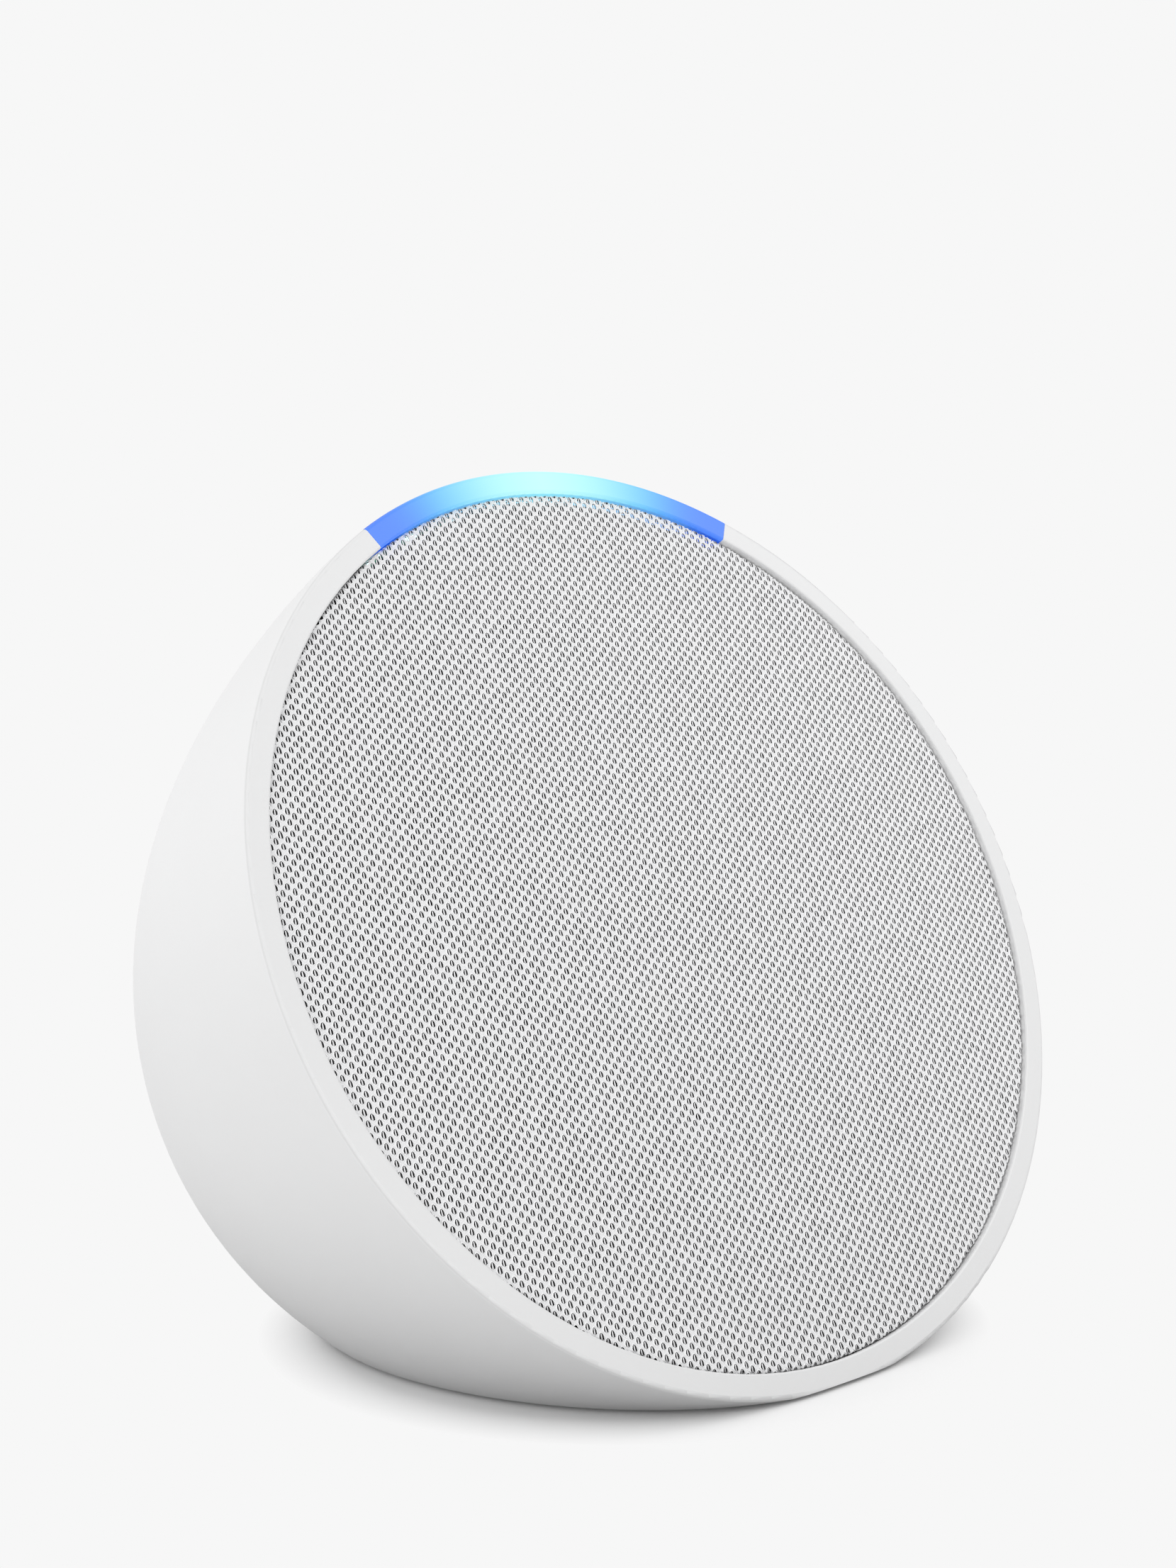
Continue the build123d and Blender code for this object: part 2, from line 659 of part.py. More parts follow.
# ---- speaker driver ---------------------------------------------------------------------------
def driver_screw_holes(part):
    for degrees in DIAGONALS:
        x, v = polar(DRIVER_SCREW_RADIUS, degrees)
        part -= disc(DRIVER_HOLE_RADIUS, FLANGE_FRONT, BAFFLE_SEAT, x, v)
    return part


def make_speaker_basket():
    basket = turned(
        (BASKET_RIM_RADIUS, FLANGE_FRONT),
        (BASKET_RIM_RADIUS, BASKET_RIM_END),
        (BASKET_THROAT_RADIUS, BASKET_CONE_END),
        (BASKET_THROAT_RADIUS, SPIDER_SEAT),
        (BASKET_LEDGE_RADIUS, SPIDER_SEAT),
        (BASKET_LEDGE_RADIUS, BASKET_FLOOR),
        (BASKET_HUB_RADIUS, BASKET_FLOOR),
        (BASKET_HUB_RADIUS, BASKET_BACK),
        (BASKET_FOOT_RADIUS, BASKET_BACK),
        (BASKET_FOOT_RADIUS, SPIDER_SEAT),
        (BASKET_SHOULDER_RADIUS, FLANGE_BACK),
        (FLANGE_RADIUS, FLANGE_BACK),
        (FLANGE_RADIUS, FLANGE_FRONT),
    )
    window = block(9.0, 12.0, 9.2, 12.9, 0, 19.5)
    for index in range(BASKET_WINDOWS):
        basket -= Rot(0, 0, 360 / BASKET_WINDOWS * index) * window
    return FACE * driver_screw_holes(basket)


def make_speaker_gasket():
    gasket = ring(FLANGE_RADIUS - 0.15, BAFFLE_HOLE_RADIUS, FLANGE_BACK, BAFFLE_SEAT)
    return FACE * driver_screw_holes(gasket)


def make_speaker_screws():
    body = screw(*DRIVER_SCREW)
    places = [polar(DRIVER_SCREW_RADIUS, degrees) for degrees in DIAGONALS]
    return group([FACE * Pos(x, v, -FLANGE_FRONT) * body for x, v in places])


def make_surround():
    """A half-roll between two flat lips."""
    lip_front = FLANGE_FRONT - GAP - ROLL_THICKNESS
    lip_back = FLANGE_FRONT - GAP
    tube = Circle(ROLL_OUTER) - Circle(ROLL_OUTER - ROLL_THICKNESS)
    half = tube & Pos(0, ROLL_OUTER) * Rectangle(3 * ROLL_OUTER, 2 * ROLL_OUTER)
    section = Plane.XZ * Pos(ROLL_CENTRE_RADIUS, -lip_back) * half
    bead = revolve(section, Axis.Z)
    first = ROLL_CENTRE_RADIUS - ROLL_OUTER
    last = ROLL_CENTRE_RADIUS + ROLL_OUTER
    inner_lip = ring(first + ROLL_THICKNESS / 2, first - 1.0, lip_front, lip_back)
    outer_lip = ring(last + 1.0, last - ROLL_THICKNESS / 2, lip_front, lip_back)
    return FACE * (bead + inner_lip + outer_lip)


def make_spider():
    """A corrugated centring disc on the basket's ledge."""
    inner = COIL_OUTER_RADIUS + 2 * GAP
    flat = BASKET_LEDGE_RADIUS
    step = (flat - inner) / (2 * SPIDER_RIDGES)
    lower = [(inner, SPIDER_SEAT)]
    for index in range(1, 2 * SPIDER_RIDGES):
        lift = SPIDER_LIFT if index % 2 else 0.0
        lower.append((inner + index * step, SPIDER_SEAT - lift))
    lower += [(flat, SPIDER_SEAT), (SPIDER_OUTER_RADIUS, SPIDER_SEAT)]
    upper = [(radius, depth - SPIDER_THICKNESS) for radius, depth in reversed(lower)]
    return FACE * turned(*lower, *upper)


def make_speaker_cone():
    thick = CONE_THICKNESS
    cone = turned(
        (CONE_RIM_RADIUS, FLANGE_FRONT),
        (CONE_RIM_RADIUS, FLANGE_FRONT + thick),
        (CONE_RIM_RADIUS - 1.2, FLANGE_FRONT + thick),
        (CONE_NECK_RADIUS, CONE_NECK_DEPTH),
        (CONE_NECK_RADIUS, CONE_NECK_DEPTH - thick * 1.2),
        (CONE_RIM_RADIUS - 1.0, FLANGE_FRONT),
    )
    return FACE * cone


def make_dust_cap():
    """A shallow spherical cap over the voice coil."""
    centre = Pos(0, 0, -DUST_CAP_FRONT - DUST_CAP_CURVE)
    shell = centre * Sphere(DUST_CAP_CURVE) - centre * Sphere(DUST_CAP_CURVE - CONE_THICKNESS)
    front = DUST_CAP_FRONT - OVERSHOOT
    return FACE * (shell & disc(DUST_CAP_RADIUS, front, CONE_NECK_DEPTH))


def make_voice_coil():
    former = ring(COIL_OUTER_RADIUS - 0.1, COIL_INNER_RADIUS, FORMER_FRONT, FORMER_BACK)
    winding = ring(COIL_OUTER_RADIUS, COIL_OUTER_RADIUS - 0.15, WINDING_FRONT, WINDING_BACK)
    return FACE * (former + winding)


def make_top_plate():
    return FACE * ring(TOP_PLATE_RADIUS, PLATE_HOLE_RADIUS, BASKET_BACK, MAGNET_FRONT)


def make_magnet():
    return FACE * ring(MAGNET_RADIUS, MAGNET_HOLE_RADIUS, MAGNET_FRONT, MAGNET_BACK)


def make_yoke():
    yoke = turned(
        (0, POLE_FRONT),
        (POLE_RADIUS, POLE_FRONT),
        (POLE_RADIUS, MAGNET_BACK),
        (YOKE_RADIUS, MAGNET_BACK),
        (YOKE_RADIUS, YOKE_BACK - YOKE_EDGE),
        (YOKE_RADIUS - YOKE_EDGE, YOKE_BACK),
        (0, YOKE_BACK),
    )
    return FACE * yoke


def make_speaker_terminals():
    terminals = block(7.0, 2.2, BASKET_BACK, TERMINAL_FRONT, 0, TERMINAL_V)
    for x in (-TERMINAL_X, TERMINAL_X):
        terminals += block(1.6, 1.6, TERMINAL_FRONT, TERMINAL_END, x, TERMINAL_V)
    return FACE * terminals


# ---- chamber and electronics ----------------------------------------------------------------------
def standoff_places():
    return [(x, v) for x in (-STANDOFF_X, STANDOFF_X) for v in (-STANDOFF_V, STANDOFF_V)]


def make_speaker_chamber():
    front = BAFFLE_BACK + GAP
    inner = CHAMBER_RADIUS - CHAMBER_WALL
    chamber = turned(
        (inner, front),
        (CHAMBER_FLANGE_RADIUS, front),
        (CHAMBER_FLANGE_RADIUS, front + CHAMBER_WALL),
        (CHAMBER_RADIUS, front + CHAMBER_WALL),
        (CHAMBER_RADIUS, CHAMBER_BACK - 1.0),
        (CHAMBER_RADIUS - 1.0, CHAMBER_BACK),
        (0, CHAMBER_BACK),
        (0, CHAMBER_BACK - CHAMBER_WALL),
        (inner, CHAMBER_BACK - CHAMBER_WALL),
    )
    for x, v in standoff_places():
        chamber += disc(STANDOFF_RADIUS, CHAMBER_BACK, BOARD_FRONT, x, v)
        chamber -= disc(PILOT_RADIUS, CHAMBER_BACK, BOARD_FRONT, x, v)
    for degrees in DIAGONALS:
        x, v = polar(CHAMBER_SCREW_RADIUS, degrees)
        chamber -= disc(CHAMBER_HOLE_RADIUS, front, front + CHAMBER_WALL, x, v)
    lead_hole_front = CHAMBER_BACK - CHAMBER_WALL - OVERSHOOT
    chamber -= disc(LEAD_HOLE_RADIUS, lead_hole_front, CHAMBER_BACK, 0, LEAD_HOLE_V)
    return FACE * chamber


def make_chamber_screws():
    body = Rot(180, 0, 0) * screw(*CHAMBER_SCREW)
    under_head = BAFFLE_BACK + GAP + CHAMBER_WALL
    places = [polar(CHAMBER_SCREW_RADIUS, degrees) for degrees in DIAGONALS]
    return group([FACE * Pos(x, v, -under_head) * body for x, v in places])


def make_main_board():
    board = disc(BOARD_RADIUS, BOARD_FRONT, BOARD_BACK)
    height = BOARD_RADIUS - BOARD_FLAT_V
    middle = (BOARD_RADIUS + BOARD_FLAT_V) / 2
    board &= block(2 * SPAN, height, BOARD_FRONT, BOARD_BACK, 0, middle)
    for x, v in standoff_places():
        board -= disc(BOARD_HOLE_RADIUS, BOARD_FRONT, BOARD_BACK, x, v)
    return FACE * board


def make_shield(width, height, tall, x):
    """A drawn steel can with a softened lid."""
    can = block(width, height, BOARD_BACK, BOARD_BACK + tall, x, CHIP_V)
    lid = can.edges().group_by(Axis.Z)[0]
    can = fillet(lid, SHIELD_EDGE)
    width -= 2 * SHIELD_SHEET
    height -= 2 * SHIELD_SHEET
    return FACE * (can - block(width, height, BOARD_BACK, BOARD_BACK + tall - SHIELD_SHEET, x, CHIP_V))


def make_thermal_pad():
    return FACE * block(14, 13, PAD_FRONT, PAD_BACK, 0, CHIP_V)


def make_heat_spreader():
    plate = block(30, 26, PAD_BACK, SPREADER_BACK, 0, CHIP_V)
    corners = plate.edges().filter_by(Axis.Z)
    return FACE * fillet(corners, 2.0)


def make_power_parts():
    """Inductors and capacitors on the back of the main board."""
    parts = [block(5, 5, BOARD_BACK, BOARD_BACK + 2.6, x, -8.5) for x in (-22, -15)]
    parts += [disc(2.5, BOARD_BACK, BOARD_BACK + 4.2, x, -22.0) for x in (-12, -6)]
    parts += [block(1.6, 0.9, BOARD_BACK, BOARD_BACK + 0.8, 16 + 2.6 * i, 24) for i in range(3)]
    parts += [block(3.4, 2.2, BOARD_BACK, BOARD_BACK + 1.1, x, -2) for x in (-25, -20)]
    return group([FACE * part for part in parts])


def make_board_connectors():
    speaker_plug = block(6.0, 4.4, 34.2, BOARD_FRONT, 0, LEAD_HOLE_V)
    power_plug = block(7.0, 4.6, BOARD_BACK, POWER_PLUG_BACK, POWER_PLUG_X, POWER_PLUG_V)
    plug = block(8.0, 2.6, BOARD_BACK, RIBBON_PLUG_BACK, 0, RIBBON_PLUG_V)
    ribbon_plugs = [plug, Pos(BUTTON_RIBBON_X, 0, 0) * plug]
    return group([FACE * part for part in [speaker_plug, power_plug, *ribbon_plugs]])


def make_board_screws():
    body = Rot(180, 0, 0) * screw(*BOARD_SCREW)
    return group([FACE * Pos(x, v, -BOARD_BACK) * body for x, v in standoff_places()])


def make_antennas():
    reach = CHAMBER_RADIUS + 0.4
    return group([FACE * block(0.6, 6.0, 15.0, 30.0, x, 0) for x in (-reach, reach)])


def ribbon(x, *points):
    """A flat cable of constant width along a bent line of (v, depth) points."""
    line = FilletPolyline(*[(v, -depth) for v, depth in points], radius=RIBBON_BEND)
    strip = Plane.YZ * trace(line, RIBBON_THICKNESS)
    start = Pos(x - RIBBON_WIDTH / 2, 0, 0)
    return FACE * start * extrude(strip, amount=RIBBON_WIDTH, dir=(1, 0, 0))


def make_button_ribbon():
    route = [(37.4, 24.2), (37.4, 27.5), (34.9, 31.0), (34.9, 38.0), (29.6, 38.0)]
    return ribbon(BUTTON_RIBBON_X, *route)


def make_led_ribbon():
    route = [(43.4, 6.0), (39.5, 6.0), (39.5, 11.6), (34.7, 11.6), (34.7, 38.0), (29.6, 38.0)]
    return ribbon(0, *route)


def lead(radius, bend, *points):
    """A round wire along straight runs joined by arcs."""
    path = FilletPolyline(*points, radius=bend)
    start = Plane(origin=path @ 0, z_dir=path % 0)
    return sweep(start * Circle(radius), path)


def make_speaker_leads():
    wires = []
    for x in (-1, 1):
        route = [
            (TERMINAL_X * x, TERMINAL_V, -TERMINAL_END - GAP),
            (TERMINAL_X * x, TERMINAL_V, -21.0),
            (0.9 * x, LEAD_HOLE_V, -26.0),
            (0.9 * x, LEAD_HOLE_V, -34.15),
        ]
        wires.append(FACE * lead(0.55, 2.2, *route))
    return group(wires)


def face_point(x, v, depth):
    """A face-frame point in the world frame."""
    y = FACE_Y + v * math.sin(TILT) + depth * math.cos(TILT)
    z = FACE_HEIGHT + v * math.cos(TILT) - depth * math.sin(TILT)
    return x, y, z


# ---- power inlet -------------------------------------------------------------------------------------
def make_jack_housing():
    barrel = along_y(JACK_RADIUS, JACK_BACK_Y, JACK_FACE_Y)
    barrel = chamfer(barrel.edges().group_by(Axis.Y)[-1], 0.3)
    barrel -= along_y(JACK_BORE_RADIUS, JACK_BORE_BACK_Y, JACK_FACE_Y + OVERSHOOT)
    barrel -= along_y(JACK_ROOT_RADIUS + GAP, JACK_BACK_Y, JACK_BORE_BACK_Y + OVERSHOOT)
    slot = world_box((-2.85, JACK_BACK_Y, JACK_Z - 0.95), (-1.9, 27.6, JACK_Z + 0.95))
    return barrel - slot


def make_jack_pin():
    root = along_y(JACK_ROOT_RADIUS, JACK_BACK_Y, JACK_ROOT_END_Y)
    pin = along_y(JACK_PIN_RADIUS, JACK_ROOT_END_Y, JACK_PIN_TIP_Y)
    return root + chamfer(pin.edges().group_by(Axis.Y)[-1], 0.25)


def make_jack_spring():
    leaf = world_box((-2.75, JACK_BACK_Y, JACK_Z - 0.85), (-2.45, 27.0, JACK_Z + 0.85))
    nose = world_box((-2.45, 25.4, JACK_Z - 0.85), (-2.1, 26.2, JACK_Z + 0.85))
    return leaf + nose


def make_jack_board():
    front = JACK_BACK_Y - JACK_BOARD_THICKNESS
    low = (-JACK_BOARD_HALF_WIDTH, front, JACK_Z - JACK_BOARD_HALF_HEIGHT)
    high = (JACK_BOARD_HALF_WIDTH, JACK_BACK_Y, JACK_Z + JACK_BOARD_HALF_HEIGHT)
    board = world_box(low, high)
    for x in (-JACK_POST_X, JACK_POST_X):
        board -= along_y(SCREW_HOLE_RADIUS, front, JACK_BACK_Y, x)
    return board


def make_jack_screws():
    body = Rot(90, 0, 0) * screw(*JACK_SCREW)
    front = JACK_BACK_Y - JACK_BOARD_THICKNESS
    return group([Pos(x, front, JACK_Z) * body for x in (-JACK_POST_X, JACK_POST_X)])


def make_power_leads():
    wires = []
    for offset in (-1.1, 1.1):
        end = face_point(POWER_PLUG_X + offset, POWER_PLUG_V, POWER_PLUG_BACK + GAP)
        before = face_point(POWER_PLUG_X + offset, POWER_PLUG_V, 44.0)
        start = (4.5 + offset, JACK_BACK_Y - JACK_BOARD_THICKNESS - GAP, LEAD_START_Z)
        after = (4.5 + offset, JACK_BACK_Y - 4.5, LEAD_START_Z)
        wires.append(lead(0.6, 1.3, start, after, before, end))
    return group(wires)


# ---- write every node --------------------------------------------------------------------
def make_nodes():
    nodes = {
        "housing": make_housing(),
        "foot_pad": make_foot_pad(),
        "light_bar": make_light_bar(),
        "light_guide": make_light_guide(),
        "led_board": make_led_board(),
        "led_packages": make_led_packages(),
        "led_bracket": make_led_bracket(),
        "grille_fabric": make_grille_fabric(),
        "grille_plate": make_grille_plate(),
        "front_baffle": make_front_baffle(),
        "baffle_screws": make_baffle_screws(),
        "button_retainer": make_button_retainer(),
        "button_board": make_button_board(),
        "switch_bodies": make_switch_bodies(),
        "button_board_screws": make_button_board_screws(),
        "microphones": make_microphones(),
        "mic_boots": make_mic_boots(),
        "speaker_basket": make_speaker_basket(),
        "speaker_gasket": make_speaker_gasket(),
        "speaker_screws": make_speaker_screws(),
        "surround": make_surround(),
        "spider": make_spider(),
        "speaker_cone": make_speaker_cone(),
        "dust_cap": make_dust_cap(),
        "voice_coil": make_voice_coil(),
        "top_plate": make_top_plate(),
        "magnet": make_magnet(),
        "yoke": make_yoke(),
        "speaker_terminals": make_speaker_terminals(),
        "speaker_leads": make_speaker_leads(),
        "speaker_chamber": make_speaker_chamber(),
        "chamber_screws": make_chamber_screws(),
        "main_board": make_main_board(),
        "processor_shield": make_shield(18, 16, PAD_FRONT - BOARD_BACK, 0),
        "radio_shield": make_shield(9, 12, 1.5, 24),
        "thermal_pad": make_thermal_pad(),
        "heat_spreader": make_heat_spreader(),
        "power_parts": make_power_parts(),
        "board_connectors": make_board_connectors(),
        "board_screws": make_board_screws(),
        "antennas": make_antennas(),
        "button_ribbon": make_button_ribbon(),
        "led_ribbon": make_led_ribbon(),
        "jack_housing": make_jack_housing(),
        "jack_pin": make_jack_pin(),
        "jack_spring": make_jack_spring(),
        "jack_board": make_jack_board(),
        "jack_screws": make_jack_screws(),
        "power_leads": make_power_leads(),
    }
    for name, x in BUTTONS.items():
        nodes[f"{name}_button"] = make_button(x)
        nodes[f"{name}_plunger"] = make_plunger(x)
    return nodes


os.makedirs("parts", exist_ok=True)
for name, shape in make_nodes().items():
    export_step(shape, f"parts/{name}.step")
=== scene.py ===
import json
import math

import bmesh
import bpy
import numpy as np
from mathutils import Matrix, Vector
from mathutils.bvhtree import BVHTree


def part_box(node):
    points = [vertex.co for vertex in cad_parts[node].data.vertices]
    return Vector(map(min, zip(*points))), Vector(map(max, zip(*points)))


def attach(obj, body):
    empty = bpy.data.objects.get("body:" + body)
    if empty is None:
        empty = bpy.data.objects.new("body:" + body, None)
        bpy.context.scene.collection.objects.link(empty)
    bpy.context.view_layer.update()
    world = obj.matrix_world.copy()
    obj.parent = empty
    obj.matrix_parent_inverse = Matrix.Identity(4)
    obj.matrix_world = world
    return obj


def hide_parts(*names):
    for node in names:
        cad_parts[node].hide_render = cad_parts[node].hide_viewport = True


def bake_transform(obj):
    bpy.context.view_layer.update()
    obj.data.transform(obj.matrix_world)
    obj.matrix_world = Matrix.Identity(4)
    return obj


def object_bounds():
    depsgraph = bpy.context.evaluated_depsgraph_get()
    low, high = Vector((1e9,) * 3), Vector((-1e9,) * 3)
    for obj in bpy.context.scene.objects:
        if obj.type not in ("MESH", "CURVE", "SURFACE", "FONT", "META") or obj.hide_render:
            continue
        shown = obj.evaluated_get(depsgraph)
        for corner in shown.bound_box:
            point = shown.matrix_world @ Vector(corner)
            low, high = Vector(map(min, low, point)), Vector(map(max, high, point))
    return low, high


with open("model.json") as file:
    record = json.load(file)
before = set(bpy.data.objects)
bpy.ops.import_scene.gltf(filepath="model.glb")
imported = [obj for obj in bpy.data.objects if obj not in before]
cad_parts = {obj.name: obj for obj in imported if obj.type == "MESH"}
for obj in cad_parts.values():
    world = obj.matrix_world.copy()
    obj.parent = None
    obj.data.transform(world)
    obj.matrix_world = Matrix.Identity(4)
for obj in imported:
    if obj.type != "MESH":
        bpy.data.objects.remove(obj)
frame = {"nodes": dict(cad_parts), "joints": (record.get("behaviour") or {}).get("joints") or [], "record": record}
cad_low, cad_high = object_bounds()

MM = 0.001
NODES = frame["nodes"]


# ---- the face frame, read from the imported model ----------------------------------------
def reach(node, direction):
    """Lowest and highest place of a CAD node along a direction."""
    points = np.array([vertex.co for vertex in NODES[node].data.vertices])
    along = points @ np.array(direction)
    return along.min(), along.max()


FACE_RIGHT = Vector((1, 0, 0))
FACE_OUT = Vector(
    next(joint["axis"] for joint in frame["joints"] if joint["name"] == "cone_travel")
).normalized()
FACE_UP = FACE_OUT.cross(FACE_RIGHT)
FABRIC_LOW, FABRIC_HIGH = reach("grille_fabric", FACE_UP)
FRONT = reach("housing", FACE_OUT)[1]
FACE_CENTRE = FACE_OUT * FRONT + FACE_UP * (FABRIC_LOW + FABRIC_HIGH) / 2
RIM_RADIUS = (cad_high.x - cad_low.x) / 2
FABRIC_RADIUS = (FABRIC_HIGH - FABRIC_LOW) / 2
FABRIC_RECESS = FRONT - reach("grille_fabric", FACE_OUT)[1]
FACE_AXES = np.array([FACE_RIGHT, FACE_UP, FACE_OUT])


def from_face(points):
    """World places of (right, up, out) points on the face."""
    return np.array(FACE_CENTRE) + np.asarray(points) @ FACE_AXES


# ---- camera ----------------------------------------------------------------------------
VIEW_AZIMUTH = math.radians(-39.863)
VIEW_ELEVATION = math.radians(4.057)
VIEW_ROLL = math.radians(-2.878)
VIEW_DISTANCE = 236.66 * MM
VIEW_SIDE = -9.87 * MM
VIEW_RISE = 12.13 * MM
VIEW_LENS = 53.753
VIEW_SENSOR = 36.0


def make_camera():
    """Looks at the face from its left, a little above it, with a slight roll."""
    flat = math.cos(VIEW_ELEVATION)
    back = Vector((
        math.sin(VIEW_AZIMUTH) * flat,
        -math.cos(VIEW_AZIMUTH) * flat,
        math.sin(VIEW_ELEVATION),
    ))
    level = Vector((math.cos(VIEW_AZIMUTH), math.sin(VIEW_AZIMUTH), 0))
    upright = back.cross(level)
    right = level * math.cos(VIEW_ROLL) + upright * math.sin(VIEW_ROLL)
    up = upright * math.cos(VIEW_ROLL) - level * math.sin(VIEW_ROLL)
    place = FACE_CENTRE + right * VIEW_SIDE + up * VIEW_RISE + back * VIEW_DISTANCE
    data = bpy.data.cameras.new("camera")
    data.lens = VIEW_LENS
    data.sensor_width = VIEW_SENSOR
    data.clip_start = 0.01
    camera = bpy.data.objects.new("camera", data)
    axes = Matrix((right, up, back)).transposed().to_4x4()
    camera.matrix_world = Matrix.Translation(place) @ axes
    bpy.context.scene.collection.objects.link(camera)
    bpy.context.scene.camera = camera


# ---- materials -------------------------------------------------------------------------
class Finish:
    """One procedural material: a Principled shader and the nodes that feed it."""

    def __init__(self, name, colour, roughness, **values):
        self.material = bpy.data.materials.new(name)
        self.material.use_nodes = True
        self.tree = self.material.node_tree
        self.shader = self.tree.nodes["Principled BSDF"]
        self.colour = colour
        self.roughness = roughness
        self.set_value("Base Color", (*colour, 1))
        self.set_value("Roughness", roughness)
        for socket, value in values.items():
            self.set_value(socket.replace("_", " "), value)
        self.coordinates = self.node("TexCoord").outputs["Object"]
        self.bumps = None

    def set_value(self, socket, value):
        self.shader.inputs[socket].default_value = value

    def node(self, kind, **inputs):
        made = self.tree.nodes.new("ShaderNode" + kind)
        for name, value in inputs.items():
            self.feed(made.inputs[name.replace("_", " ")], value)
        return made

    def feed(self, socket, value):
        if isinstance(value, bpy.types.NodeSocket):
            self.tree.links.new(value, socket)
        else:
            socket.default_value = value

    def math(self, operation, *values):
        made = self.tree.nodes.new("ShaderNodeMath")
        made.operation = operation
        for socket, value in zip(made.inputs, values):
            self.feed(socket, value)
        return made.outputs[0]

    def vector(self, operation, *values):
        made = self.tree.nodes.new("ShaderNodeVectorMath")
        made.operation = operation
        for socket, value in zip(made.inputs, values):
            self.feed(socket, value)
        return made.outputs["Value" if operation in ("DOT_PRODUCT", "LENGTH") else "Vector"]

    def stretched(self, *scale):
        return self.vector("MULTIPLY", self.coordinates, scale)

    def face_place(self):
        """Across, up and out on the face, and the distance from its axis."""
        place = self.vector("SUBTRACT", self.coordinates, tuple(FACE_CENTRE))
        across = self.vector("DOT_PRODUCT", place, tuple(FACE_RIGHT))
        up = self.vector("DOT_PRODUCT", place, tuple(FACE_UP))
        out = self.vector("DOT_PRODUCT", place, tuple(FACE_OUT))
        squares = self.math("ADD", self.math("POWER", across, 2.0), self.math("POWER", up, 2.0))
        return across, up, out, self.math("SQRT", squares)

    def noise(self, size, detail=2.0, where=None):
        """Soft noise whose lumps are about 'size' metres wide."""
        made = self.node("TexNoise", Scale=1 / size, Detail=detail, Vector=where or self.coordinates)
        return made.outputs["Fac"]

    def cells(self, size):
        """Distance from the middles of scattered cells about 'size' metres wide."""
        made = self.node("TexVoronoi", Scale=1 / size, Vector=self.coordinates)
        return made.outputs["Distance"]

    def between(self, value, low, high, start=0.0, end=1.0):
        """Spreads a value from low..high to start..end."""
        made = self.node("MapRange", Value=value)
        for name, number in zip(("From Min", "From Max", "To Min", "To Max"), (low, high, start, end)):
            self.feed(made.inputs[name], number)
        return made.outputs[0]

    def mix(self, share, first, second):
        """A colour from first to second."""
        made = self.tree.nodes.new("ShaderNodeMix")
        made.data_type = "RGBA"
        for name, value in zip(("Factor", "A", "B"), (share, first, second)):
            socket = next(s for s in made.inputs if s.name == name and s.enabled)
            self.feed(socket, (*value, 1) if isinstance(value, tuple) and len(value) == 3 else value)
        return next(s for s in made.outputs if s.enabled)

    def ramp(self, share, *stops):
        """A colour from (place, colour) stops."""
        made = self.node("ValToRGB", Fac=share)
        made.color_ramp.interpolation = "B_SPLINE"
        steps = made.color_ramp.elements
        while len(steps) < len(stops):
            steps.new(0.5)
        for step, (place, colour) in zip(steps, stops):
            step.position = place
            step.color = (*colour, 1)
        return made.outputs["Color"]

    def shade(self, share, amount):
        """Lets the base colour drift darker and lighter by 'amount'."""
        darker = tuple(c * (1 - amount) for c in self.colour)
        lighter = tuple(min(1.0, c * (1 + amount)) for c in self.colour)
        self.feed(self.shader.inputs["Base Color"], self.mix(share, darker, lighter))

    def rough(self, share, amount):
        """Lets the roughness drift either way by 'amount'."""
        low = max(0.02, self.roughness - amount)
        high = min(1.0, self.roughness + amount)
        self.feed(self.shader.inputs["Roughness"], self.between(share, 0.3, 0.7, low, high))

    def relief(self, height, depth, strength=1.0):
        """Adds a bump of that depth in metres to those before it."""
        made = self.node("Bump", Height=height, Distance=depth, Strength=strength)
        if self.bumps is not None:
            self.feed(made.inputs["Normal"], self.bumps)
        self.bumps = made.outputs["Normal"]
        self.feed(self.shader.inputs["Normal"], self.bumps)


# The housing and the buttons share one white, one grain and one slow drift in tone. The
# edge line is painted shade: a darker band of colour along the rim's outer edge.
WHITE = (0.745, 0.746, 0.748)
BUTTON_WHITE = (0.75, 0.751, 0.753)
SATIN = 0.42
GRAIN = 0.22 * MM
GRAIN_DEPTH = 0.006 * MM
DRIFT_SIZE = 14 * MM
SHELL_DRIFT = 0.015
EDGE_SHADE_WIDTH = 0.2 * MM
EDGE_SHADE_TONE = 0.86


def moulded(name, colour, roughness=0.5, grain=GRAIN, depth=GRAIN_DEPTH, drift=0.02):
    """Moulded plastic with a spark-eroded grain and a slow drift in tone."""
    finish = Finish(name, colour, roughness)
    finish.shade(finish.noise(DRIFT_SIZE, 3), drift)
    grit = finish.noise(grain, 3)
    finish.rough(grit, 0.05)
    finish.relief(grit, depth)
    return finish.material


def shell(name, colour):
    """The housing's satin plastic, with painted shade along the rim's outer edge."""
    finish = Finish(name, colour, SATIN)
    _, _, out, radius = finish.face_place()
    # Painted shade: the colour darkens in a thin band at the rim's outer edge.
    near = finish.between(radius, RIM_RADIUS - EDGE_SHADE_WIDTH, RIM_RADIUS - EDGE_SHADE_WIDTH / 3)
    shade_band = finish.math("MULTIPLY", near, finish.between(out, -1.6 * EDGE_SHADE_WIDTH, -EDGE_SHADE_WIDTH))
    shade_colour = tuple(c * EDGE_SHADE_TONE for c in colour)
    darker = tuple(c * (1 - SHELL_DRIFT) for c in colour)
    lighter = tuple(c * (1 + SHELL_DRIFT) for c in colour)
    tone = finish.mix(finish.noise(DRIFT_SIZE, 3), darker, lighter)
    finish.feed(finish.shader.inputs["Base Color"], finish.mix(shade_band, tone, shade_colour))
    grit = finish.noise(GRAIN, 3)
    finish.rough(grit, 0.05)
    finish.relief(grit, GRAIN_DEPTH)
    return finish.material


